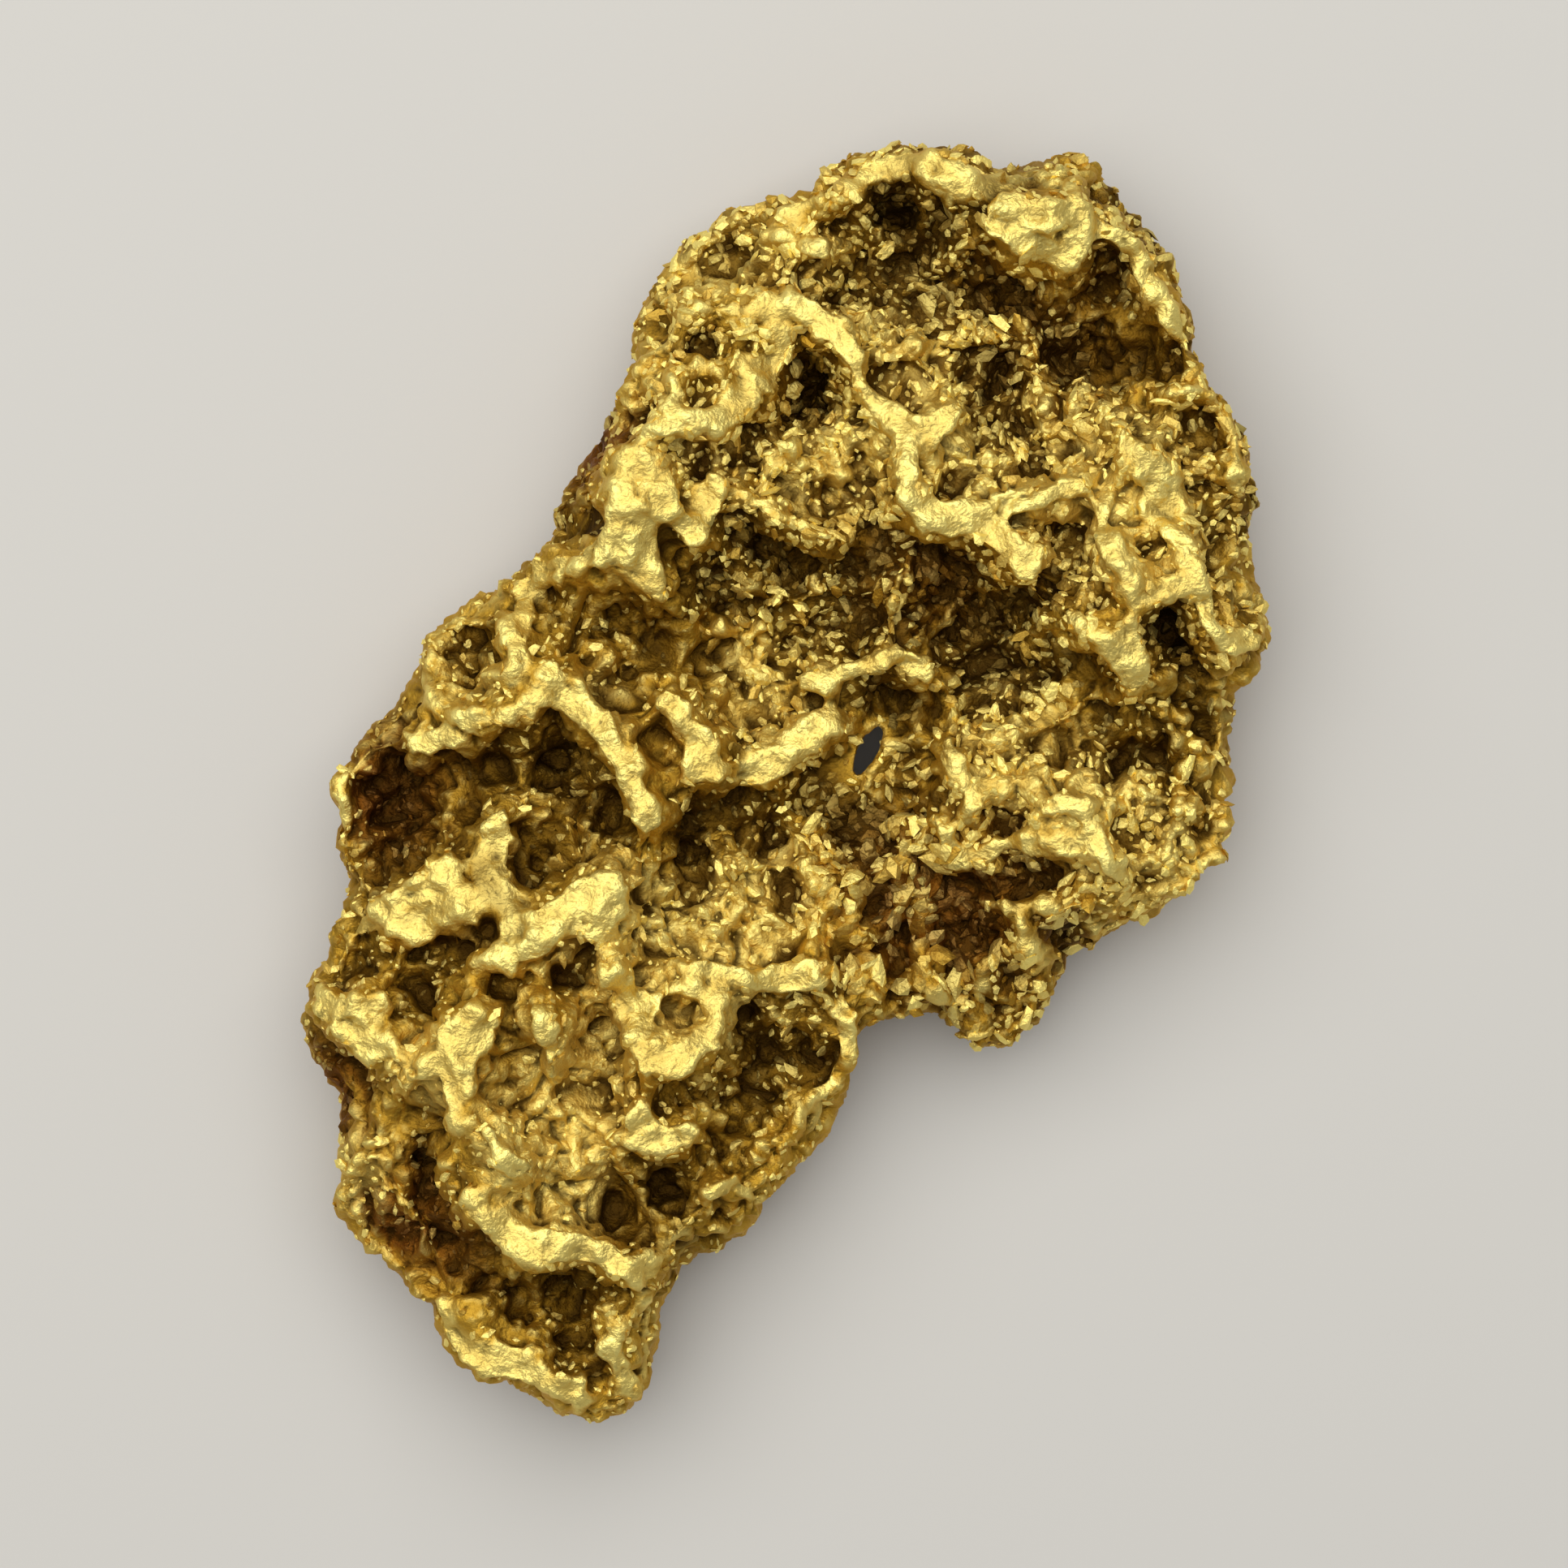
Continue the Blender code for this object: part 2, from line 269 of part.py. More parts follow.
# Rough mounds that stand on the floor: x, y, half-length, half-breadth, turn in degrees, rise.
MOUNDS = [
    (6.2, 13.4, 1.1, 0.55, -8, 0.45), (0.7, 7.75, 1.5, 1.0, -22, 0.95),
    (3.0, 10.6, 1.2, 1.0, 30, 0.50), (-0.4, 12.4, 1.4, 0.6, -10, 0.50),
    (-1.4, 13.2, 0.9, 0.5, 30, 0.35), (5.1, 4.4, 0.25, 0.25, 0, 0.80),
    (-3.95, 3.65, 0.28, 0.22, 0, 0.70), (-3.5, 3.1, 0.25, 0.22, 0, 0.60),
    (-4.6, 2.4, 0.7, 0.4, 20, 0.40), (-6.5, -1.0, 0.35, 0.75, 20, 0.75),
    (-5.5, -0.6, 0.5, 0.3, 0, 0.45), (-8.2, -1.5, 0.7, 0.55, -35, 0.45),
    (-4.8, -2.6, 1.5, 0.85, 25, 0.45), (-3.6, -2.2, 0.6, 0.6, 0, 0.30),
    (-10.05, -9.4, 0.95, 1.35, 0, 0.55), (-6.2, -9.7, 1.3, 0.8, -20, 0.55),
    (-5.4, -7.9, 0.5, 0.35, -30, 0.65), (-4.6, -9.35, 0.5, 0.42, 0, 0.70),
    (-1.3, -7.05, 0.35, 0.25, 0, 0.55), (-7.9, -4.7, 0.8, 0.4, 20, 0.45),
    (-8.8, -5.6, 0.3, 0.45, 0, 0.40), (-5.3, -13.3, 0.9, 0.5, 0, 0.45),
    (8.9, -1.6, 1.0, 0.8, -30, 0.50), (5.7, 0.1, 1.5, 0.6, 0, 0.40),
    (6.4, 1.45, 1.3, 0.35, 0, 0.35), (10.9, 4.1, 0.5, 0.9, 20, 0.40),
    (1.2, -3.2, 1.2, 0.5, 0, 0.30), (1.3, -0.55, 0.3, 0.3, 0, 0.55),
    (-0.5, -2.2, 1.1, 0.3, -25, 0.40), (5.6, -5.7, 0.8, 0.6, 20, 0.40),
    (1.2, 4.0, 1.8, 0.8, 0, 0.20), (9.8, 8.2, 0.8, 0.6, 0, 0.30),
    (-5.7, 3.2, 0.5, 0.4, 0, 0.45), (2.9, -1.0, 0.9, 0.3, 0, 0.25),
    (4.3, 1.3, 0.6, 0.35, -30, 0.40), (7.7, -0.1, 0.7, 0.4, 25, 0.45), (3.0, -2.9, 0.7, 0.45, 40, 0.40),
    (1.9, -3.9, 0.6, 0.4, -20, 0.45), (0.6, -1.7, 0.5, 0.4, 30, 0.40), (3.5, 0.1, 0.4, 0.3, 0, 0.35),
    (3.3, -4.4, 0.5, 0.4, 0, 0.40), (2.3, -5.2, 0.5, 0.3, 30, 0.35), (9.7, -0.9, 0.5, 0.4, 0, 0.40),
    (8.6, 9.9, 0.6, 0.4, 40, 0.40), (6.9, 9.4, 0.5, 0.5, 0, 0.35), (4.3, 11.5, 0.5, 0.4, -30, 0.40),
    (2.4, 13.0, 0.5, 0.3, 20, 0.40), (-7.0, 3.2, 0.4, 0.35, 0, 0.45), (-3.9, -8.6, 0.4, 0.3, 0, 0.45),
    (-2.2, -10.7, 0.5, 0.3, 40, 0.40), (0.0, -8.5, 0.5, 0.4, 50, 0.40), (-8.9, -8.9, 0.3, 0.6, 0, 0.35),
]

# Swells of the back, worn flat where the nugget rests on them: x, y, radius, reach.
FEET = [
    (-7.2, -8.0, 3.4, 1.9), (7.2, 8.6, 3.2, 2.0), (0.6, 11.2, 2.4, 1.4), (8.0, 0.2, 2.6, 2.0),
    (-7.2, 0.2, 2.4, 1.5), (-1.0, -4.2, 2.0, 1.3),
]
THIN_WAIST = (2.1, 0.9, 2.6, 1.0)  # the waist's hollow in the back: x, y, radius, rise

# Hollows of the back: x, y, half-length, half-breadth, turn in degrees, depth.
BACK_HOLLOWS = [
    (3.6, 5.8, 2.0, 0.9, 30, 0.9), (-3.2, 5.4, 1.6, 0.8, -40, 0.9), (-2.9, 0.9, 1.7, 0.7, 65, 0.8),
    (-3.2, -11.6, 1.3, 0.8, 20, 0.7), (-9.4, -4.0, 1.2, 0.7, -20, 0.8), (4.6, 12.9, 1.6, 0.7, -25, 0.8),
    (9.6, 4.6, 1.0, 0.6, 75, 0.8), (4.9, -3.3, 1.3, 0.8, -35, 0.8), (-4.6, -4.6, 1.2, 0.6, 10, 0.7),
    (-0.6, 7.6, 0.9, 0.7, 0, 0.8), (6.1, 3.0, 0.9, 0.5, -50, 0.7), (-6.6, 3.6, 0.8, 0.5, 30, 0.6),
    (-9.0, -11.2, 1.0, 0.5, -45, 0.6), (0.4, -7.6, 0.8, 0.5, 60, 0.6), (9.0, 11.6, 0.7, 0.5, 20, 0.6),
]

# The hole through the waist.
HOLE = [
    (2.1, 1.38), (2.38, 1.3), (2.42, 0.9), (2.12, 0.5), (1.86, 0.18), (1.72, 0.32), (1.92, 0.72), (2.02, 1.0),
]
CUTTER_REACH = 20.0  # how far the cutters reach past the nugget

GOLD = (0.83, 0.60, 0.19, 1.0)
GOLD_ROUGHNESS = 0.34


# Small mathematics.


def smoothstep(low, high, value):
    """0 below low, 1 above high, and a smooth rise between them."""
    t = np.clip((value - low) / (high - low), 0.0, 1.0)
    return t * t * (3.0 - 2.0 * t)


def smooth_line(points, closed=False):
    """The points of a smooth curve (Catmull-Rom) through the given ones."""
    p = np.array(points, float)
    if closed:
        before, after = np.roll(p, 1, 0), np.roll(p, -1, 0)
        starts = zip(before, p, after, np.roll(p, -2, 0))
    else:
        padded = np.vstack([2 * p[0] - p[1], p, 2 * p[-1] - p[-2]])
        starts = zip(padded, padded[1:], padded[2:], padded[3:])
    line = []
    for a, b, c, d in starts:
        for t in np.arange(LINE_STEPS) / LINE_STEPS:
            line.append(0.5 * (2 * b + (c - a) * t + (2 * a - 5 * b + 4 * c - d) * t**2
                               + (3 * b - a - 3 * c + d) * t**3))
    if not closed:
        line.append(p[-1])
    return np.array(line)


def distance_to_line(xy, line):
    """Each point's distance to a line of straight steps, and how far along the line it is, 0 to 1."""
    best = np.full(len(xy), np.inf)
    along = np.zeros(len(xy))
    steps = len(line) - 1
    for i, (a, b) in enumerate(zip(line, line[1:])):
        step = b - a
        t = np.clip((xy - a) @ step / (step @ step), 0.0, 1.0)
        d = np.hypot(*(xy - a - t[:, None] * step).T)
        nearer = d < best
        best[nearer] = d[nearer]
        along[nearer] = (i + t[nearer]) / steps
    return best, along


def inset_from(outline, xy):
    """Each point's distance to a closed line."""
    distance, _ = distance_to_line(xy, np.vstack([outline, outline[:1]]))
    return distance


def lattice(cell, seed):
    """A repeatable number from 0 to 1 for each whole-numbered cell."""
    h = cell @ np.array([73856093, 19349663, 83492791]) + seed * 2654435761
    h = (h ^ (h >> 13)) * 1274126177
    return ((h ^ (h >> 16)) & 0xFFFF) / 65535.0


def wander(p, size, seed):
    """Smooth noise from -1 to 1 at points in space that changes over about size millimetres."""
    q = p / size
    cell = np.floor(q).astype(np.int64)
    f = q - cell
    f = f * f * (3.0 - 2.0 * f)
    total = np.zeros(len(p))
    for corner in itertools.product((0, 1), repeat=3):
        share = np.prod(np.where(corner, f, 1.0 - f), axis=1)
        total += share * lattice(cell + corner, seed)
    return 2.0 * total - 1.0


def lumps(p, sizes, seed):
    """Octaves of noise added up, each with its own size and height in millimetres."""
    return sum(height * wander(p, size, seed + i) for i, (size, height) in enumerate(sizes))


def pits(p, sizes, seed):
    """Crowded round pits with sharp walls between them: the depth below the tops of the walls."""
    total = np.zeros(len(p))
    for size, depth in sizes:
        q = p / size
        cell = np.floor(q).astype(np.int64)
        nearest = np.full(len(p), 2.0)
        for dx, dy in itertools.product((-1, 0, 1), repeat=2):
            neighbour = cell + np.array((dx, dy, 0))
            heart = neighbour[:, :2] + np.column_stack([lattice(neighbour, seed + axis) for axis in (0, 1)])
            nearest = np.minimum(nearest, ((q[:, :2] - heart) ** 2).sum(1))
        total += depth * np.clip(1.0 - nearest / 0.72**2, 0.0, 1.0)
        seed += 2
    return total


def flat(xy, height=0.0):
    """Points in the plane as points in space."""
    return np.column_stack([xy, np.full(len(xy), height)])


# The face and the back, as heights over the plane.


def in_oval(xy, x, y, length, breadth, turn):
    """0 at the middle of a turned oval, 1 on its edge, and more outside it."""
    c, s = math.cos(math.radians(turn)), math.sin(math.radians(turn))
    dx, dy = xy[:, 0] - x, xy[:, 1] - y
    return np.hypot((c * dx + s * dy) / length, (c * dy - s * dx) / breadth)


def stray(xy, sizes):
    """The points moved a little, so that what is drawn through them gets natural, uneven edges."""
    return xy + np.column_stack([lumps(flat(xy), sizes, seed) for seed in (11, 14)])


def gaussians(xy, bumps):
    """Broad, round bumps added up: each is x, y, radius, height."""
    total = np.zeros(len(xy))
    for x, y, radius, height in bumps:
        total += height * np.exp(-((np.hypot(xy[:, 0] - x, xy[:, 1] - y) / radius) ** 2))
    return total


def ovals(xy, shapes, inner, outer):
    """The highest of some turned ovals, each level inside and sloping away to its edge."""
    height = np.zeros(len(xy))
    for *oval, rise in shapes:
        height = np.maximum(height, rise * (1.0 - smoothstep(inner, outer, in_oval(xy, *oval))))
    return height


def worn(xy):
    """1 on a worn ridge, 0 on the rough floor, and between them on a ridge's brow and apron."""
    crest = np.zeros(len(xy))
    spacing, share = RIDGE_SADDLES
    height = 1.0 - share * smoothstep(0.0, 0.6, wander(flat(xy), spacing, 61))
    for start, end, points in RIDGES.values():
        line = smooth_line(points)
        reach = max(start, end) + RIDGE_APRON[1]
        near = np.all((xy > line.min(0) - reach) & (xy < line.max(0) + reach), axis=1)
        distance, along = distance_to_line(xy[near], line)
        out = distance - (start + (end - start) * along)
        rise = (1.0 - APRON_SHARE) * (1.0 - smoothstep(*RIDGE_BROW, out))
        rise += APRON_SHARE * (1.0 - smoothstep(*RIDGE_APRON, out))
        crest[near] = np.maximum(crest[near], rise * height[near])
    return crest


def floor_depth(xy):
    """How far each point of the unworn floor lies below the worn ridges."""
    dip = ovals(xy, HOLLOWS, 0.2, 1.25)
    for half_width, depth, points in TRENCHES:
        distance, _ = distance_to_line(xy, smooth_line(points))
        dip = np.maximum(dip, depth * (1.0 - smoothstep(0.3, 1.6, distance / half_width)))
    rise = ovals(xy, MOUNDS, 0.1, 1.25)
    return np.maximum(FLOOR_DEPTH + gaussians(xy, BASINS) + dip - rise, 0.1)


def round_over(inset, turn):
    """The quarter round of an edge: 0 at the outline, 1 from turn millimetres inside it."""
    t = np.clip(inset / turn, 0.0, 1.0)
    return np.sqrt(1.0 - (1.0 - t) ** 2)


def rim_height(xy):
    """Height of the widest line, which undulates round the nugget."""
    return RIM_HEIGHT + lumps(flat(xy), RIM_LUMPS, 51)


def back_surface(xy, inset):
    """Height of the back, whose feet reach below 0 and are cut flat there later."""
    strayed = stray(xy, FLOOR_STRAY)
    height = BACK_HEIGHT + lumps(flat(xy), BACK_LUMPS, 21) - gaussians(xy, FEET)
    height += gaussians(xy, [THIN_WAIST]) + ovals(strayed, BACK_HOLLOWS, 0.1, 1.3)
    rim = rim_height(xy) - RIM_WALL
    return rim + (height - rim) * round_over(inset, BACK_TURN)


def face_surface(xy, inset):
    """Height of the face: its envelope of worn ridges, less the depth of the floor between them."""
    envelope = FACE_HEIGHT + gaussians(xy, SWELLS) + lumps(flat(xy), CREST_LUMPS, 65)
    crest = worn(stray(xy, RIDGE_STRAY))
    strayed = stray(xy, FLOOR_STRAY)
    depth = floor_depth(strayed) + lumps(flat(xy), FLOOR_LUMPS, 31) + pits(flat(strayed), FLOOR_PITS, 71)
    height = envelope - depth * (1.0 - crest) * smoothstep(0.0, 0.6, inset)
    rim = rim_height(xy) + RIM_WALL
    return rim + (height - rim) * round_over(inset, FACE_TURN + gaussians(xy, EASY_EDGES))


# The mesh, step by step.


def mesh_object(name, bm):
    """A new object in the scene with this bmesh as its mesh."""
    mesh = bpy.data.meshes.new(name)
    bm.to_mesh(mesh)
    bm.free()
    obj = bpy.data.objects.new(name, mesh)
    bpy.context.scene.collection.objects.link(obj)
    return obj


def prism(name, outline, low, high):
    """An upright prism over a closed line of points."""
    bm = bmesh.new()
    face = bm.faces.new([bm.verts.new((x, y, low)) for x, y in outline])
    raised = bmesh.ops.extrude_face_region(bm, geom=[face])["geom"]
    top = [v for v in raised if isinstance(v, bmesh.types.BMVert)]
    bmesh.ops.translate(bm, verts=top, vec=(0.0, 0.0, high - low))
    bmesh.ops.recalc_face_normals(bm, faces=bm.faces)
    return mesh_object(name, bm)


def bake_modifiers(obj):
    """Replaces the object's mesh by what its modifiers make of it."""
    graph = bpy.context.evaluated_depsgraph_get()
    made = bpy.data.meshes.new_from_object(obj.evaluated_get(graph))
    obj.modifiers.clear()
    obj.data = made


def remesh(obj, grain):
    """Rebuilds the object's surface from even quads with sides of about grain."""
    modifier = obj.modifiers.new("even_quads", "REMESH")
    modifier.mode = "VOXEL"
    modifier.voxel_size = grain
    bake_modifiers(obj)


def vertices_of(obj):
    """The positions and the normals of the object's vertices, as two arrays."""
    count = len(obj.data.vertices)
    places, normals = np.empty(count * 3), np.empty(count * 3)
    obj.data.vertices.foreach_get("co", places)
    obj.data.vertex_normals.foreach_get("vector", normals)
    return places.reshape(-1, 3), normals.reshape(-1, 3)


def move_vertices(obj, places):
    obj.data.vertices.foreach_set("co", places.ravel())
    obj.data.update()


def carve(obj, outline, thickness):
    """Bends the flat slab's two sides to the nugget's face and back."""
    places, _ = vertices_of(obj)
    xy = places[:, :2]
    share = np.clip(places[:, 2] / thickness, 0.0, 1.0)
    inset = inset_from(outline, xy)
    back = back_surface(xy, inset)
    face = np.maximum(face_surface(xy, inset), back + LEAST_WALL * round_over(inset, FACE_TURN))
    places[:, 2] = back + share * (face - back)
    move_vertices(obj, places)


def roughen(obj, outline):
    """Pushes the sides and the back in and out along themselves, and leaves the face as it is."""
    places, normals = vertices_of(obj)
    xy = places[:, :2]
    inset = inset_from(outline, xy)
    share = np.where(normals[:, 2] < 0.0, 1.0, (1.0 - normals[:, 2]) * (1.0 - smoothstep(0.5, 1.3, inset)))
    size, depth = DENTS
    off_rim = smoothstep(0.1, 1.1, np.abs(places[:, 2] - rim_height(xy)))
    dents = depth * smoothstep(0.0, 0.8, wander(places, size, 45)) * (0.3 + 0.7 * off_rim)
    places += normals * (share * (lumps(places, SKIN_LUMPS, 41) - dents))[:, None]
    move_vertices(obj, places)


def subtract(obj, cutter):
    """Cuts the cutter's shape out of the object, and removes the cutter."""
    cut = obj.modifiers.new("cut", "BOOLEAN")
    cut.operation = "DIFFERENCE"
    cut.solver = "EXACT"
    cut.object = cutter
    bpy.context.view_layer.update()
    bake_modifiers(obj)
    bpy.data.objects.remove(cutter)


def thin_out(obj):
    """Merges the flattest triangles until few enough are left, which keeps the ridges sharp."""
    triangulate = obj.modifiers.new("triangles", "TRIANGULATE")
    triangulate.min_vertices = 4
    bake_modifiers(obj)
    thin = obj.modifiers.new("fewer_triangles", "DECIMATE")
    thin.ratio = TRIANGLES / len(obj.data.polygons)
    bake_modifiers(obj)


def to_metres(obj):
    """Centres the mesh over the origin and scales it from millimetres to metres."""
    places, _ = vertices_of(obj)
    middle = (places.min(0) + places.max(0)) / 2
    obj.data.transform(Matrix.Scale(MM, 4) @ Matrix.Translation((-middle[0], -middle[1], 0.0)))


def gold():
    """Native gold: warm yellow metal with a satin wear."""
    material = bpy.data.materials.new("native_gold")
    material.use_nodes = True
    shader = material.node_tree.nodes["Principled BSDF"]
    shader.inputs["Base Color"].default_value = GOLD
    shader.inputs["Metallic"].default_value = 1.0
    shader.inputs["Roughness"].default_value = GOLD_ROUGHNESS
    return material


def build_nugget():
    outline = smooth_line(OUTLINE, closed=True)
    nugget = prism("gold_nugget", outline, 0.0, FACE_HEIGHT)
    remesh(nugget, BLANK_GRAIN)
    carve(nugget, outline, FACE_HEIGHT)
    remesh(nugget, SOLID_GRAIN)
    roughen(nugget, outline)
    remesh(nugget, SOLID_GRAIN)
    subtract(nugget, prism("hole", HOLE, -CUTTER_REACH, CUTTER_REACH))
    thin_out(nugget)
    # The worn feet are cut off flat at the surface that the nugget lies on.
    corners = [(-CUTTER_REACH, -CUTTER_REACH), (CUTTER_REACH, -CUTTER_REACH),
               (CUTTER_REACH, CUTTER_REACH), (-CUTTER_REACH, CUTTER_REACH)]
    subtract(nugget, prism("ground", corners, -CUTTER_REACH, 0.0))
    to_metres(nugget)
    nugget.data.materials.append(gold())
    nugget.data.shade_smooth()


def main():
    for obj in list(bpy.data.objects):
        bpy.data.objects.remove(obj)
    build_nugget()


if __name__ == "__main__":
    main()
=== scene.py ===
# %% [markdown]
# # A river-worn gold nugget
#
# A nugget is one natural piece of metal. This one is 33 mm from corner to corner and not quite as heavy
# as an ounce coin, so nearly all that makes it look real happens in tenths of a millimetre: the river
# has hammered and polished what stands proud, and left the crystals in the hollows as they grew.
#
# The imported solid already has the nugget's outline, its net of ridges, its basins and its hole. This
# script keeps those forms and dresses them: it melts the solid's facets into a fine skin, burnishes the
# ridges, roughens and fills the hollows with crystals, and gives the metal its colours, with painted
# shade in its hollows and creases and painted highlights on its level tips.

import math

import bmesh
import bpy
import numpy as np
from mathutils import Matrix, Vector
from mathutils.bvhtree import BVHTree


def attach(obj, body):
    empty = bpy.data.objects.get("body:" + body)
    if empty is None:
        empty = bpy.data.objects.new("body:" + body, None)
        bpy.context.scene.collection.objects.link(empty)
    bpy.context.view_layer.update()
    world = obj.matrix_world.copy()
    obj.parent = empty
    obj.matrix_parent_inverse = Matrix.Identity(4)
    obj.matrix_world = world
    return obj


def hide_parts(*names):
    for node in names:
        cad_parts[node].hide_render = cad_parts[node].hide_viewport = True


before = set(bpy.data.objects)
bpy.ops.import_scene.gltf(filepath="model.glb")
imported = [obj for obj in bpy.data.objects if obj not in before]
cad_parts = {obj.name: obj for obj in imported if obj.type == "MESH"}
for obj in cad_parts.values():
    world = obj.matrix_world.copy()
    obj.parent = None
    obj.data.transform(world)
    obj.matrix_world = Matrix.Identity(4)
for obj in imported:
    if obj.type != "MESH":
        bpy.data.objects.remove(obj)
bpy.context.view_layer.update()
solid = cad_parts["gold_nugget"]

# %% [markdown]
# ## Numbers that wander
#
# Nothing natural is even, so almost every shape and mask below is pushed about by noise. Blender has
# noise textures, but here the same noise has to move geometry and to agree with the solid's own
# shapes, so it is worked out on whole arrays of points. Lengths are in millimetres until the very end.

# %% Noise
MM = 0.001


def smoothstep(low, high, value):
    """0 below low, 1 above high, and a smooth rise between them."""
    t = np.clip((value - low) / (high - low), 0.0, 1.0)
    return t * t * (3.0 - 2.0 * t)


def at_least(least, mask):
    """The mask squeezed into the range from least to 1."""
    return least + (1.0 - least) * mask


def lattice(cell, seed):
    """A repeatable number from 0 to 1 for each whole-numbered cell."""
    h = cell @ np.array([73856093, 19349663, 83492791]) + seed * 2654435761
    h = (h ^ (h >> 13)) * 1274126177
    return ((h ^ (h >> 16)) & 0xFFFF) / 65535.0


def wander(p, size, seed):
    """Smooth noise from -1 to 1 that changes over about size millimetres."""
    q = p / size
    cell = np.floor(q).astype(np.int64)
    f = q - cell
    f = f * f * (3.0 - 2.0 * f)
    total = np.zeros(len(p))
    for corner in np.ndindex(2, 2, 2):
        share = np.prod(np.where(corner, f, 1.0 - f), axis=1)
        total += share * lattice(cell + corner, seed)
    return 2.0 * total - 1.0


def lumps(p, sizes, seed):
    """Octaves of noise added up, each with its own size and height in millimetres."""
    return sum(height * wander(p, size, seed + i) for i, (size, height) in enumerate(sizes))


print("noise at three points:", wander(np.array([[0.0, 0, 0], [1, 2, 3], [4, 5, 6]]), 1.3, 1).round(3))

# %% [markdown]
# ## The worn ridges
#
# The river's gravel only reaches the high places, so the ridges are the polished part of a nugget.
# Each is a line along its crest, as seen from above, with the half-width of its worn top where it
# starts and where it ends. They are the lines that the solid's ridges were raised along, so the polish
# lands exactly on them. A list of short curves is easier to correct than a sculpted mesh.

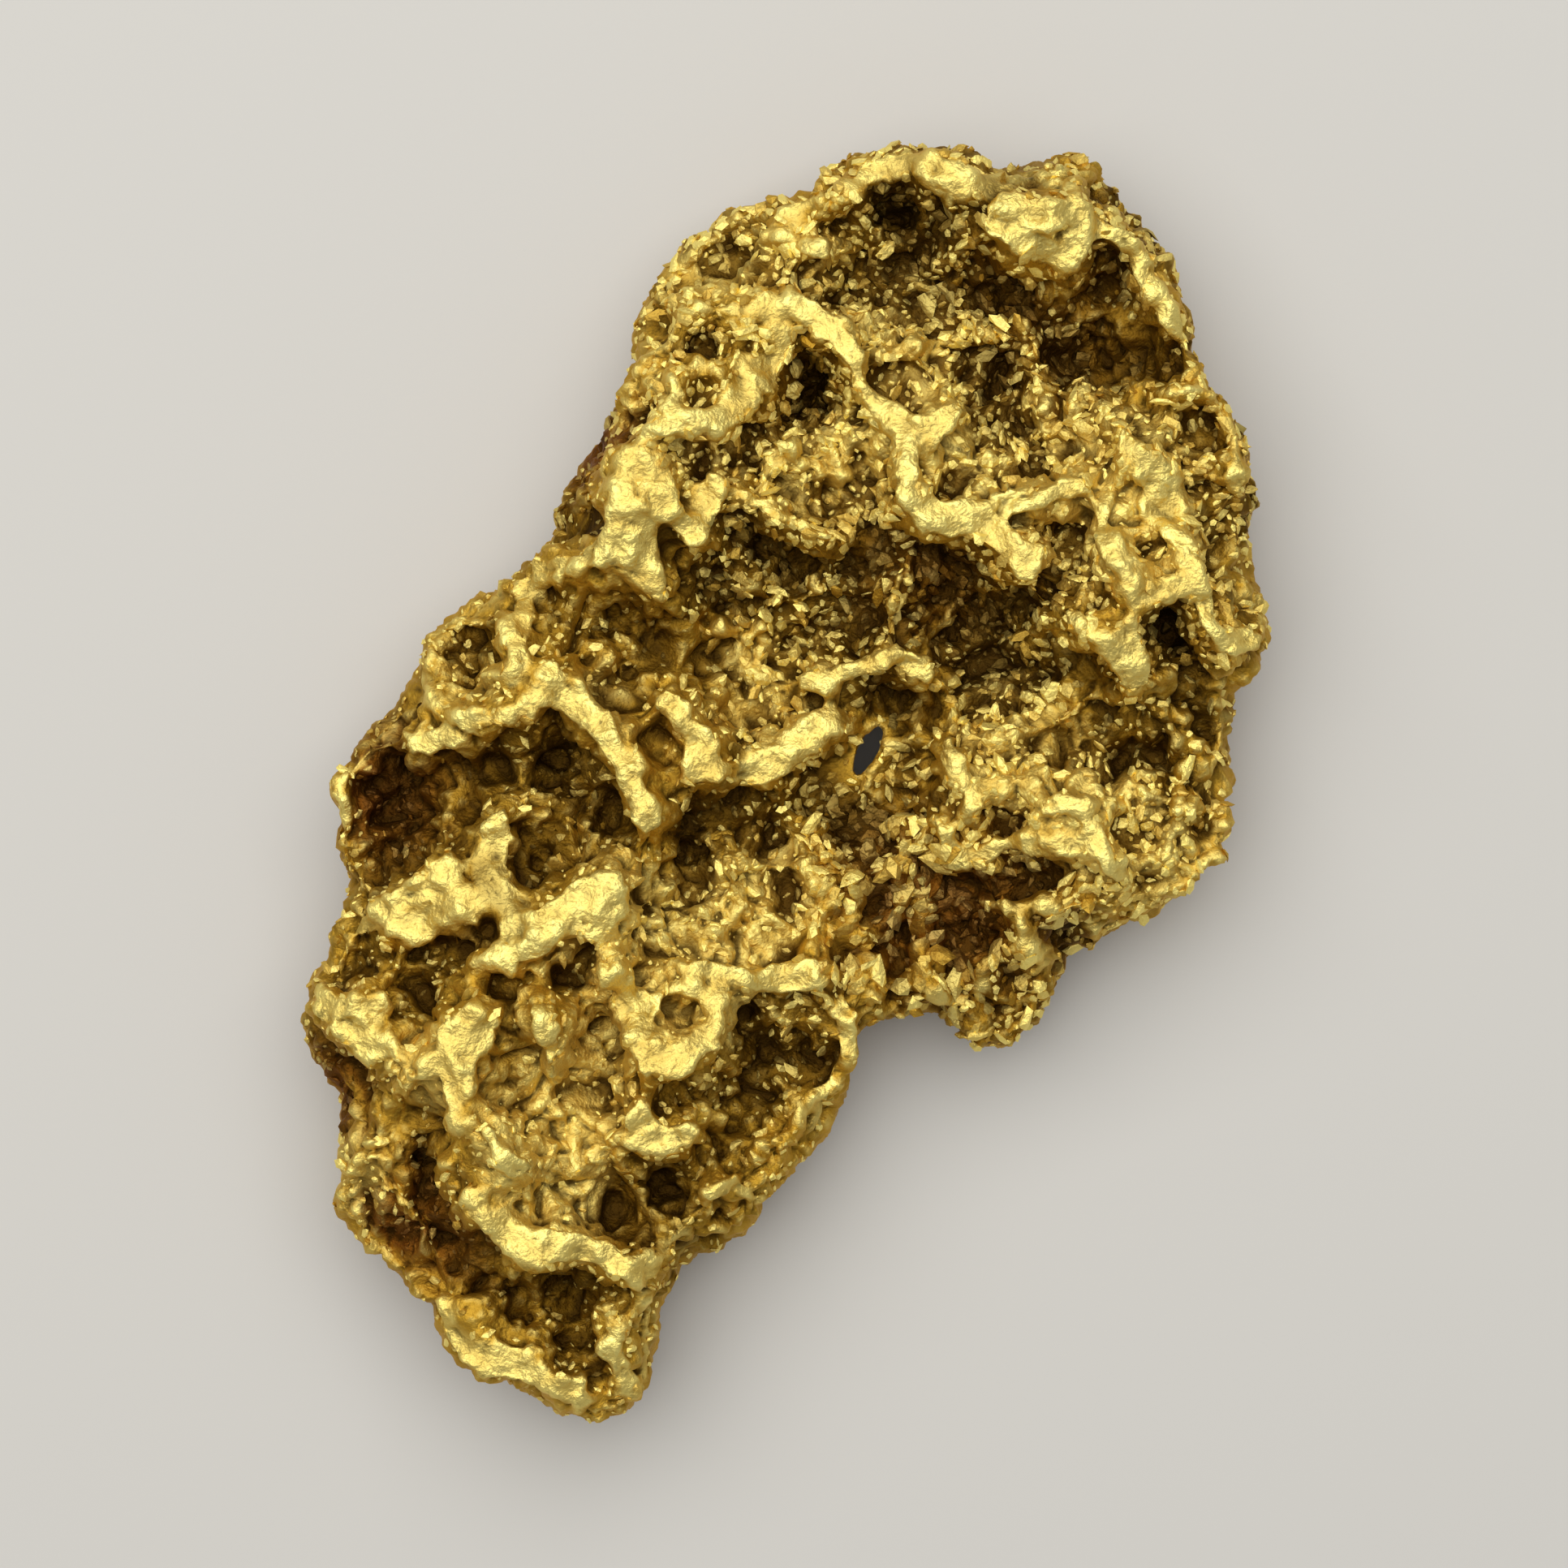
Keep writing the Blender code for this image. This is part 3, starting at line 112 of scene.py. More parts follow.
# %% The crests, as half-widths and lines in millimetres
RIDGES = {
    "crown_left": (0.20, 0.22, [(0.2, 13.95), (0.9, 14.2), (1.5, 14.4), (1.9, 14.85), (2.7, 15.05)]),
    "crown_bar": (0.24, 0.26, [(3.1, 15.25), (3.8, 14.85), (4.8, 14.78), (5.6, 14.7), (6.3, 14.75),
                               (7.0, 14.4)]),
    "crown_hook": (0.14, 0.20, [(-0.4, 13.4), (0.2, 13.3), (0.6, 13.1), (0.9, 12.95)]),
    "brow": (0.22, 0.24, [(5.1, 13.35), (5.7, 13.05), (6.2, 12.75), (6.7, 12.6), (7.05, 12.85),
                          (7.4, 13.3), (8.1, 13.35), (8.65, 13.05), (8.75, 12.5), (9.0, 12.05)]),
    "brow_end": (0.20, 0.30, [(9.0, 12.0), (9.3, 11.5), (9.65, 11.05)]),
    "brow_top": (0.24, 0.24, [(5.3, 13.7), (6.2, 13.75), (6.9, 13.9), (7.5, 13.6), (8.0, 13.5)]),
    "edge_bead": (0.18, 0.26, [(10.1, 10.2), (10.4, 9.8), (10.75, 9.3)]),
    "edge_shelf": (0.16, 0.14, [(9.3, 9.4), (9.8, 9.6), (10.3, 9.65)]),
    "edge_bar": (0.18, 0.26, [(11.0, 8.2), (11.1, 7.6), (11.15, 7.1)]),
    "slab": (0.30, 0.34, [(8.15, 8.35), (8.5, 7.9), (8.9, 7.5), (9.2, 7.15), (9.25, 6.75)]),
    "slab_tail": (0.20, 0.12, [(9.3, 6.5), (9.5, 6.0), (9.7, 5.4), (9.88, 4.8)]),
    "slab_crossing": (0.14, 0.14, [(9.9, 4.75), (9.4, 4.6), (8.9, 4.4), (8.5, 4.35)]),
    "bar": (0.24, 0.26, [(7.4, 7.1), (7.6, 6.7), (7.8, 6.1), (7.95, 5.5), (8.15, 4.9), (8.3, 4.3)]),
    "bar_pad": (0.22, 0.34, [(8.3, 3.8), (8.4, 3.2), (8.5, 2.45)]),
    "bar_shelf": (0.20, 0.14, [(7.4, 7.15), (6.9, 7.1), (6.2, 6.85), (5.5, 6.95)]),
    "bar_foot": (0.16, 0.20, [(6.9, 4.1), (7.4, 3.75), (7.8, 3.35), (8.0, 2.9)]),
    "box_side": (0.18, 0.24, [(9.95, 4.6), (10.2, 4.0), (10.5, 3.5), (10.8, 3.25), (11.3, 3.5)]),
    "spine_head": (0.26, 0.22, [(0.55, 11.35), (0.9, 11.2), (1.3, 10.85), (1.55, 10.4)]),
    "spine_neck": (0.15, 0.16, [(1.55, 10.4), (1.75, 9.9), (1.8, 9.4), (2.1, 9.0)]),
    "spine": (0.28, 0.16, [(2.1, 9.0), (2.6, 8.6), (2.95, 8.1), (2.85, 7.4), (3.05, 6.9)]),
    "spine_foot": (0.20, 0.42, [(3.05, 6.9), (3.5, 6.5), (4.1, 6.3), (4.7, 6.1), (5.3, 5.75),
                                (5.85, 5.35)]),
    "spine_branch": (0.24, 0.22, [(2.6, 8.7), (3.2, 8.55), (3.7, 8.6), (4.2, 9.05)]),
    "left_arch": (0.20, 0.22, [(-3.95, 9.5), (-3.5, 10.3), (-3.0, 10.85), (-2.2, 11.3), (-1.3, 11.5),
                               (-0.5, 11.3), (0.0, 10.85)]),
    "arch_roof": (0.22, 0.22, [(-2.6, 11.35), (-1.6, 11.6), (-0.6, 11.5), (0.3, 11.5)]),
    "loop_wall": (0.20, 0.24, [(-3.0, 10.6), (-2.65, 10.1), (-2.55, 9.5), (-2.6, 9.0), (-2.1, 8.8)]),
    "cluster_edge": (0.34, 0.26, [(-0.4, 10.0), (-0.75, 9.6), (-1.0, 9.2), (-1.5, 8.9), (-1.75, 8.5)]),
    "cluster_foot": (0.22, 0.24, [(-3.2, 8.45), (-2.6, 8.65), (-2.0, 8.85)]),
    "cluster_web": (0.16, 0.14, [(-2.0, 10.1), (-1.5, 9.9), (-1.1, 10.1), (-0.9, 10.3)]),
    "shoulder_top": (0.30, 0.26, [(-4.3, 7.9), (-3.7, 7.75), (-3.2, 7.7), (-2.9, 7.3), (-2.8, 6.6)]),
    "shoulder_bar": (0.22, 0.34, [(-4.8, 7.1), (-4.1, 7.2), (-3.75, 6.7), (-3.8, 6.1), (-4.05, 5.5)]),
    "shoulder_finger": (0.16, 0.24, [(-3.3, 6.1), (-3.25, 5.5), (-3.15, 4.8)]),
    "hook": (0.22, 0.20, [(-2.4, 6.2), (-2.1, 6.05), (-1.8, 6.35), (-1.7, 6.8), (-1.8, 7.25)]),
    "shoulder_rim": (0.16, 0.20, [(-6.4, 4.9), (-5.9, 5.35), (-5.4, 5.45), (-4.9, 5.6)]),
    "mound_lip": (0.14, 0.12, [(-0.95, 7.05), (-0.5, 6.75), (0.2, 6.35), (0.75, 6.0), (1.2, 5.95)]),
    "waist_lip": (0.14, 0.14, [(0.5, 2.65), (1.2, 2.6), (1.8, 2.85), (2.4, 3.15), (2.9, 3.2),
                               (3.4, 2.75)]),
    "waist_crest": (0.22, 0.20, [(-0.85, 0.15), (-0.3, 0.5), (0.25, 0.8), (0.5, 1.2), (1.2, 1.6)]),
    "finger": (0.30, 0.34, [(-2.9, 1.95), (-2.4, 1.6), (-2.1, 1.2), (-1.9, 0.75), (-1.8, 0.35)]),
    "long_bar": (0.24, 0.36, [(-5.7, 2.8), (-5.4, 2.3), (-5.0, 1.8), (-4.5, 1.35), (-4.1, 0.8),
                              (-3.7, 0.2), (-3.45, -0.4), (-3.2, -0.75)]),
    "cell_top": (0.16, 0.18, [(-8.4, 4.0), (-7.8, 4.3), (-7.1, 4.55)]),
    "cell_right": (0.18, 0.22, [(-6.6, 4.1), (-6.7, 3.6), (-6.4, 3.0), (-6.8, 2.4)]),
    "cell_foot": (0.22, 0.20, [(-9.0, 2.35), (-8.4, 1.95), (-7.9, 1.6), (-7.1, 1.6), (-6.4, 1.8),
                               (-5.9, 2.2)]),
    "flank_lump": (0.28, 0.26, [(-8.9, 0.95), (-8.3, 1.1)]),
    "flank_rim": (0.14, 0.14, [(-9.4, 1.85), (-10.1, 1.15), (-10.7, 0.75), (-10.95, 0.1),
                               (-10.9, -0.8)]),
    "wavy_wall": (0.15, 0.20, [(-7.1, -0.9), (-7.05, -1.7), (-6.9, -2.4), (-6.55, -2.9), (-6.4, -3.4)]),
    "pillow_edge": (0.14, 0.30, [(-6.9, -4.15), (-6.1, -3.95), (-5.4, -3.6), (-4.7, -3.2), (-4.0, -2.9)]),
    "pillow_top": (0.34, 0.40, [(-5.7, -3.2), (-4.9, -2.7), (-4.3, -2.4)]),
    "flank_step": (0.22, 0.18, [(-10.4, -3.5), (-9.7, -3.3), (-9.1, -3.5), (-8.4, -3.3), (-7.7, -2.95)]),
    "flank_step_top": (0.16, 0.16, [(-9.3, -2.8), (-8.7, -2.5), (-8.1, -2.1)]),
    "knuckle_a": (0.30, 0.26, [(-11.3, -5.25), (-10.7, -5.4), (-10.0, -5.4)]),
    "knuckle_b": (0.26, 0.30, [(-10.6, -5.9), (-10.0, -6.35), (-9.5, -6.3)]),
    "fang_root": (0.26, 0.24, [(-8.0, -5.9), (-8.1, -6.4), (-8.6, -6.95), (-9.0, -7.15)]),
    "fang": (0.42, 0.16, [(-7.75, -7.0), (-7.8, -7.6), (-7.75, -8.4)]),
    "lobe_knob": (0.34, 0.30, [(-7.4, -5.75), (-7.15, -6.05)]),
    "thorn": (0.16, 0.20, [(-5.8, -5.3), (-5.7, -5.9), (-5.55, -6.4)]),
    "curl": (0.26, 0.40, [(-4.2, -4.4), (-3.8, -4.9), (-3.4, -5.4), (-3.25, -6.1), (-3.0, -6.6),
                          (-2.5, -6.7)]),
    "curl_end": (0.34, 0.24, [(-2.5, -6.7), (-2.0, -6.3), (-1.7, -5.7), (-1.75, -5.2), (-2.3, -4.9)]),
    "tongue": (0.22, 0.28, [(-2.3, -4.3), (-1.5, -4.35), (-0.8, -4.6), (-0.1, -4.75), (0.7, -4.62)]),
    "crescent": (0.26, 0.26, [(-3.4, -8.15), (-3.15, -8.6), (-2.8, -8.75), (-2.4, -8.4)]),
    "chin": (0.34, 0.28, [(-7.4, -10.35), (-6.9, -10.5), (-6.4, -11.0), (-6.0, -11.25), (-5.3, -11.25),
                          (-4.8, -11.3), (-4.1, -11.5)]),
    "chin_end": (0.20, 0.26, [(-4.1, -11.5), (-3.5, -11.7), (-2.9, -11.75), (-2.3, -11.5)]),
    "chin_fold": (0.16, 0.20, [(-7.0, -8.4), (-6.7, -8.9), (-6.3, -9.1)]),
    "edge_crescent": (0.20, 0.20, [(-1.7, -10.05), (-1.2, -9.8), (-0.75, -10.15)]),
    "foot_rim": (0.22, 0.28, [(-8.25, -12.9), (-8.15, -13.5), (-7.6, -13.9), (-7.0, -14.1),
                              (-6.3, -14.2), (-5.7, -14.6), (-5.2, -14.75)]),
    "foot_toe": (0.26, 0.22, [(-4.3, -13.6), (-4.05, -14.0), (-3.8, -14.6)]),
    "foot_side": (0.14, 0.16, [(-3.1, -12.7), (-3.3, -13.3), (-3.35, -14.2)]),
    "wavy_lip": (0.14, 0.14, [(3.9, 0.65), (4.3, 0.4), (4.5, 0.0), (4.65, -0.5)]),
    "collar": (0.16, 0.20, [(3.9, -1.1), (4.1, -1.5), (4.5, -1.8), (5.0, -1.65), (5.6, -1.4),
                            (6.2, -1.4), (6.9, -1.6)]),
    "collar_top": (0.16, 0.18, [(6.2, -0.65), (6.7, -0.5), (7.2, -0.7), (7.5, -1.3), (7.9, -1.9),
                                (8.4, -2.4)]),
    "low_shelf": (0.18, 0.22, [(6.5, -3.0), (7.0, -3.1), (7.5, -3.5), (7.9, -3.6)]),
    "low_bar": (0.14, 0.16, [(6.1, -4.0), (6.5, -4.4), (6.8, -4.7)]),
    "cup_rim": (0.12, 0.12, [(5.3, -2.9), (5.75, -3.3), (5.7, -3.9), (5.3, -4.3), (4.95, -4.8),
                             (4.6, -5.3), (4.1, -5.5), (3.6, -5.2)]),
    "notch_lump": (0.20, 0.24, [(1.35, -5.75), (1.5, -6.2), (1.6, -6.5)]),
    "notch_drop": (0.16, 0.18, [(1.05, -7.6), (1.0, -8.3)]),
}
DRAWN_FROM = np.array([0.090, -0.014])  # the solid's middle, in the plane that the lines are drawn in
RIDGE_STRAY = ((1.1, 0.12), (0.5, 0.05))  # the strays that the solid's ridges have from their lines
print(len(RIDGES), "worn ridges")

# %% [markdown]
# A crest's curve runs smoothly through its points, and a point of the skin needs to know how far it is
# from the nearest crest and how far along it is. A Catmull-Rom curve passes through every point that it
# is given, which a Bezier curve doesn't, so what is drawn is what is raised.

# %% Curves and distances
LINE_STEPS = 4


def smooth_line(points):
    """The points of a smooth curve (Catmull-Rom) through the given ones."""
    p = np.array(points, float)
    padded = np.vstack([2 * p[0] - p[1], p, 2 * p[-1] - p[-2]])
    line = []
    for a, b, c, d in zip(padded, padded[1:], padded[2:], padded[3:]):
        for t in np.arange(LINE_STEPS) / LINE_STEPS:
            line.append(0.5 * (2 * b + (c - a) * t + (2 * a - 5 * b + 4 * c - d) * t**2
                               + (3 * b - a - 3 * c + d) * t**3))
    return np.array(line + [p[-1]])


def distance_to_line(xy, line):
    """Each point's distance to a line of straight steps, and how far along the line it is, 0 to 1."""
    best = np.full(len(xy), np.inf)
    along = np.zeros(len(xy))
    for i, (a, b) in enumerate(zip(line, line[1:])):
        step = b - a
        t = np.clip((xy - a) @ step / (step @ step), 0.0, 1.0)
        d = np.hypot(*(xy - a - t[:, None] * step).T)
        nearer = d < best
        best[nearer] = d[nearer]
        along[nearer] = (i + t[nearer]) / (len(line) - 1)
    return best, along


def drawn(places):
    """The places in the plane that the lines are drawn in, with the stray of the solid's ridges."""
    xy = places[:, :2] + DRAWN_FROM
    flat = np.column_stack([xy, np.zeros(len(xy))])
    return xy + np.column_stack([lumps(flat, RIDGE_STRAY, seed) for seed in (11, 14)])


print("longest crest:", max(RIDGES, key=lambda name: len(RIDGES[name][2])))

# %% [markdown]
# ## A skin fine enough for tenths of a millimetre
#
# The solid has fewer than ten thousand triangles, with sides of about half a millimetre. Subdividing
# them would only make smaller flat facets, so a copy is rebuilt from even quads with a voxel remesh and
# relaxed until the facets melt. The remesh can't keep a hole as narrow as the one through the waist, so
# that is cut again, and its edge is left alone from then on. Only then is every quad split once more:
# a remesh as fine as that from the start would have kept the facets.

# %% Copy the solid and remesh it
SKIN_QUAD = 0.185  # side of a quad of the skin, in millimetres, before it is split
MELT_STEPS = 5  # rounds of relaxing that melt the facets
RELAX_SHARE = 0.5  # how far one round moves a vertex towards the middle of its neighbours
WELD = 1e-7  # corners nearer than this are one, in metres
HOLE_AXIS = np.array([(1.85, 0.36), (2.28, 1.28)])  # its long axis, in the plane of the lines
HOLE_SIZE = (0.44, 1.30)  # its breadth and length
CUTTER = (14, 20.0)  # sides and length of what cuts it, which goes right through the nugget
HOLE_CLEAR = (0.20, 0.42)  # no work on the skin nearer the axis than the first, all beyond the second


def mesh_object(name, bm):
    """A new object in the scene with this bmesh as its mesh."""
    mesh = bpy.data.meshes.new(name)
    bm.to_mesh(mesh)
    bm.free()
    obj = bpy.data.objects.new(name, mesh)
    bpy.context.scene.collection.objects.link(obj)
    return obj


def bake_modifiers(obj):
    """Replaces the object's mesh by what its modifiers make of it."""
    made = bpy.data.meshes.new_from_object(obj.evaluated_get(bpy.context.evaluated_depsgraph_get()))
    obj.modifiers.clear()
    obj.data = made


def remesh(obj, quad):
    even = obj.modifiers.new("even_quads", "REMESH")
    even.mode = "VOXEL"
    even.voxel_size = quad
    bake_modifiers(obj)


def relax(obj, rounds):
    """Moves each vertex towards the middle of its neighbours, some rounds over."""
    smooth = obj.modifiers.new("relax", "SMOOTH")
    smooth.factor = RELAX_SHARE
    smooth.iterations = rounds
    bake_modifiers(obj)


def vertex_array(obj):
    places = np.empty(len(obj.data.vertices) * 3)
    obj.data.vertices.foreach_get("co", places)
    return places.reshape(-1, 3)


def normal_array(obj):
    normals = np.empty(len(obj.data.vertices) * 3)
    obj.data.vertex_normals.foreach_get("vector", normals)
    return normals.reshape(-1, 3)


def move_vertices(obj, places):
    obj.data.vertices.foreach_set("co", places.ravel())
    obj.data.update()


def relaxed_places(obj, rounds):
    """Where the object's vertices would lie after some rounds of relaxing."""
    relaxed = obj.copy()
    relaxed.data = obj.data.copy()
    bpy.context.scene.collection.objects.link(relaxed)
    relax(relaxed, rounds)
    places = vertex_array(relaxed)
    bpy.data.objects.remove(relaxed)
    return places


def cut_hole(obj):
    """Cuts the hole through the waist again, which is too narrow for the remesh to keep."""
    bm = bmesh.new()
    sides, length = CUTTER
    bmesh.ops.create_cone(bm, cap_ends=True, segments=sides, radius1=0.5, radius2=0.5, depth=length)
    lie = HOLE_AXIS[1] - HOLE_AXIS[0]
    bmesh.ops.scale(bm, verts=bm.verts, vec=(HOLE_SIZE[0], HOLE_SIZE[1], 1.0))
    bmesh.ops.rotate(bm, verts=bm.verts, matrix=Matrix.Rotation(math.atan2(-lie[0], lie[1]), 3, "Z"))
    bmesh.ops.translate(bm, verts=bm.verts, vec=(*(HOLE_AXIS.mean(0) - DRAWN_FROM), 0.0))
    cutter = mesh_object("hole_cutter", bm)
    cut = obj.modifiers.new("hole", "BOOLEAN")
    cut.operation = "DIFFERENCE"
    cut.solver = "EXACT"
    cut.object = cutter
    bake_modifiers(obj)
    bpy.data.objects.remove(cutter)


def off_the_hole(places):
    """0 at the hole through the waist, and 1 clear of it."""
    return smoothstep(*HOLE_CLEAR, distance_to_line(places[:, :2] + DRAWN_FROM, HOLE_AXIS)[0])


def melt(obj, rounds):
    """Relaxes the skin everywhere but at the hole, which would close."""
    places = vertex_array(obj)
    move_vertices(obj, places + off_the_hole(places)[:, None] * (relaxed_places(obj, rounds) - places))


copy = bmesh.new()
copy.from_mesh(solid.data)
bmesh.ops.remove_doubles(copy, verts=copy.verts, dist=WELD)
bmesh.ops.scale(copy, verts=copy.verts, vec=(1 / MM, 1 / MM, 1 / MM))
skin = mesh_object("gold_skin", copy)
remesh(skin, SKIN_QUAD)
relax(skin, MELT_STEPS)
cut_hole(skin)
print("skin:", len(skin.data.vertices), "vertices")

# %% Split every quad
def split_quads(obj):
    bm = bmesh.new()
    bm.from_mesh(obj.data)
    bmesh.ops.subdivide_edges(bm, edges=bm.edges, cuts=1, use_grid_fill=True)
    bmesh.ops.triangulate(bm, faces=bm.faces)
    bm.to_mesh(obj.data)
    bm.free()


split_quads(skin)
melt(skin, 1)
print("skin once split:", len(skin.data.polygons), "triangles")

# %% [markdown]
# ## Burnished crests
#
# Gravel rolls over the ridges and hammers each to a flat, smooth top whose edges are ragged, because
# the top is only as wide as the metal was high there. So the width of each top wanders, the shoulders
# under it are brought up to the height of its middle, and then the skin there takes the shape of a
# relaxed copy of itself, which loses what is smaller than the gravel could reach round.

# %% Find the crests and press them smooth
TOP_WIDTH = (1.3, 0.09)  # a top's half-width: so many times that of the solid's ridge, and so much more
WIDTH_STRAY = ((2.4, 0.28), (1.0, 0.24), (0.35, 0.20))  # sizes and heights of what a top's edge strays by
TOP_SLOPE = (0.30, 0.70)  # a top ends where its normal's rise falls from the second to the first
TOP_EDGE = (-0.10, 0.14)  # a top fades out between these distances out from its edge
SHOULDER_PULL = 0.8  # how far a shoulder is brought to the height of the top, as a share of the way
SHOULDER_MOVE = (-0.1, 0.26)  # the most that a shoulder is brought down and up by
CREST_SAMPLE = (0.25, 80)  # a crest's height is this percentile of the skin within this distance
CREST_BLUR = (0.25, 0.5, 0.25)  # weights that even the heights out along the line
UPWARD = (0.0, 0.4)  # the face sets in as the normal's rise goes from the first to the second
FACE_ABOVE = 1.5  # nothing lower than this belongs to the face
LINE_REACH = 1.5  # how far round a line the skin is measured against it
FAR_OUT = 9.0  # stands for no top anywhere near
PRESS_ROUNDS = 8  # rounds of relaxing that press a top smooth


def crest_heights(places, flat, line):
    """The height of the skin along a crest's line, at each of the line's points."""
    reach, percent = CREST_SAMPLE
    heights = [np.percentile(places[np.hypot(*(flat - point).T) < reach, 2], percent) for point in line]
    return np.convolve(np.pad(heights, 1, mode="edge"), CREST_BLUR, mode="valid")


places, normals = vertex_array(skin), normal_array(skin)
upward = smoothstep(*UPWARD, normals[:, 2]) * (places[:, 2] > FACE_ABOVE)
on_lines = drawn(places)
width_stray = lumps(places, WIDTH_STRAY, 91)
out_of_tops = np.full(len(places), FAR_OUT)  # distance out from the edge of the nearest worn top
top_height = places[:, 2].copy()
for start, end, points in RIDGES.values():
    line = smooth_line(points)
    inside = (on_lines > line.min(0) - LINE_REACH) & (on_lines < line.max(0) + LINE_REACH)
    near = np.flatnonzero(np.all(inside, 1))
    distance, along = distance_to_line(on_lines[near], line)
    half_width = TOP_WIDTH[0] * (start + (end - start) * along) + TOP_WIDTH[1] - width_stray[near]
    nearer = distance - half_width < out_of_tops[near]
    heights = crest_heights(places[near], on_lines[near], line)
    out_of_tops[near[nearer]] = (distance - half_width)[nearer]
    top_height[near[nearer]] = np.interp(along[nearer], np.linspace(0.0, 1.0, len(line)), heights)
on_top = upward * off_the_hole(places) * (1.0 - smoothstep(*TOP_EDGE, out_of_tops))
places[:, 2] += on_top * np.clip(SHOULDER_PULL * (top_height - places[:, 2]), *SHOULDER_MOVE)
move_vertices(skin, places)
crest = on_top * smoothstep(*TOP_SLOPE, normal_array(skin)[:, 2])
places += crest[:, None] * (relaxed_places(skin, PRESS_ROUNDS) - places)
move_vertices(skin, places)
print("share of the skin on crests:", round(float(crest.mean()), 3))

# %% [markdown]
# ## How deep each place lies
#
# Stain, dullness and crystals all gather where the river doesn't reach, which is what lies well below
# the nearest ridges, and there the metal is also darkened as painted shade. So a soft sheet is laid over
# the crests, as a weighted mean of their heights, and the depth of each place is measured down from that
# sheet. On the sides and the back there are no crests, and there the skin is compared with a much
# relaxed copy of itself instead. The same comparison later tells broad mounds from broad hollows, where
# painted shade is drawn into the hollows and painted light onto the mounds.

# %% Measure the depths
SHEET_REACH = 1.6  # how far a crest holds the sheet up round it, in millimetres
SHEET_SAMPLES = 700
POST_CREST = 0.9  # a post of the sheet stands only where the crest is at least this sure
SIDE_DEPTH = 0.5  # the depth that an even place on a side or the back is taken to lie at
SEED = 7
BROAD_ROUNDS, MIDDLE_ROUNDS, NARROW_ROUNDS = 260, 60, 10  # rounds that leave less and less of the form


def hollowness(obj, rounds):
    """How far the relaxed skin lies outside the skin at each vertex, in millimetres."""
    return np.einsum("ij,ij->i", relaxed_places(obj, rounds) - vertex_array(obj), normal_array(obj))


def sheet_height(places, posts):
    """Height over each place of the soft sheet that lies on the posts."""
    weight, total = np.full(len(places), 1e-9), np.zeros(len(places))
    for x, y, z in posts:
        share = np.exp(-((places[:, 0] - x) ** 2 + (places[:, 1] - y) ** 2) / SHEET_REACH**2)
        weight += share
        total += share * z
    return total / weight


rng = np.random.default_rng(SEED)
posts = places[rng.choice(np.flatnonzero(crest > POST_CREST), SHEET_SAMPLES, replace=False)]
basin = hollowness(skin, BROAD_ROUNDS)
depth = upward * (sheet_height(places, posts) - places[:, 2]) + (1.0 - upward) * (SIDE_DEPTH + basin)
print("depths, mm:", np.percentile(depth, [2, 25, 50, 75, 98]).round(2))

# %% [markdown]
# ## The rough floor
#
# Away from the crests the metal is still as it grew: lumpy at about a millimetre, and covered with
# grains of a quarter of a millimetre. Voronoi cells give the grains, because each cell is a separate
# dome with a crease round it, and plain noise would give soft waves instead.
#
# Beside the hole the metal is less than a third of a millimetre thick in places, and two rough sides
# would meet inside it. So a ray through the metal measures the wall behind each vertex, and no place is
# sunk by more than a share of that. Most of what still stands up as thin as a hair is relaxed away.

# %% Roughen the floor
FLOOR_CELLS = ((1.05, 0.30), (0.52, 0.19), (0.28, 0.10))  # size and rise of the domes, in millimetres
CREST_LUMPS = ((0.8, 0.08), (0.4, 0.07), (0.22, 0.06))
FLOOR_LUMPS = ((0.7, 0.14), (0.33, 0.10), (0.19, 0.06))  # what makes the domes uneven
DOME_STRAY = ((0.6, 0.16), (0.3, 0.07))  # how far the domes stray from round
PIT_FILL = (0.16, 0.85)  # a pit is filled beyond the first depth, by this share of what is deeper
PIT_BLEND = 0.15  # over this depth the fill sets in, so that its edge doesn't show as a ring
RESTING = 0.03  # what lies lower than this touches the floor, and stays flat
CLEAR_OF_FLOOR = 0.3  # from this height on the floor no longer calms the roughness
CREST_CALM = 0.5  # the share of the roughness that a crest loses
HOLE_ROUGH = 0.3  # the share of it that is kept at the hole
TOP_ROUGH, TOP_DEPTHS = 0.6, (0.1, 0.7)  # the share kept near the crests, and the depths it grows over
PIT_CALM, PIT_DEPTHS = 0.5, (0.2, 0.5)  # the share lost in a pit, and the depths it goes over
WALL_CALM, WALL_RISES = 0.45, (0.1, 0.5)  # the share lost on a wall, and the normal's rises it ends over
FILL_FROM = 0.1  # the fill is whole in pits deeper than this
DOME_RADIUS = 0.62  # how far from its heart a dome reaches, as a share of the cell
RAY_START = 0.02  # a ray starts this far in, past the faces that the vertex itself belongs to
WALL_REACH = 1.5  # how far in a wall's other side is looked for, in millimetres
WALL_GIVE = 0.3  # the most that a place is sunk, as a share of the wall behind it
SPIKE = (0.018, 0.045)  # a spike is relaxed more and more as it stands out by the first to the second
SPIKE_ROUNDS = (2, 6)  # rounds of relaxing that find a spike, and that take it away
LEVEL = (0.35, 0.8)  # the normal's rises between which a place begins to count as level
WORN_CREST, WORN_PROUD = 0.58, 0.65  # what lying on a crest and standing proud each add to the wear
PROUD = 0.24  # what stands out by this has all the wear that standing proud gives
WORN = (0.26, 0.78)  # added up, these are no wear and full wear
WORN_STEEP = 0.45  # the share of its wear that a steep place keeps


def domes(p, size, seed):
    """Rounded domes with creases between them, one to a Voronoi cell: 1 at a dome's top, 0 in a crease."""
    q = p / size
    cell = np.floor(q).astype(np.int64)
    nearest = np.full(len(p), np.inf)
    for step in np.ndindex(3, 3, 3):
        neighbour = cell + np.array(step) - 1
        heart = neighbour + np.column_stack([lattice(neighbour, seed + axis) for axis in range(3)])
        nearest = np.minimum(nearest, ((q - heart) ** 2).sum(1))
    return 1.0 - nearest / DOME_RADIUS**2


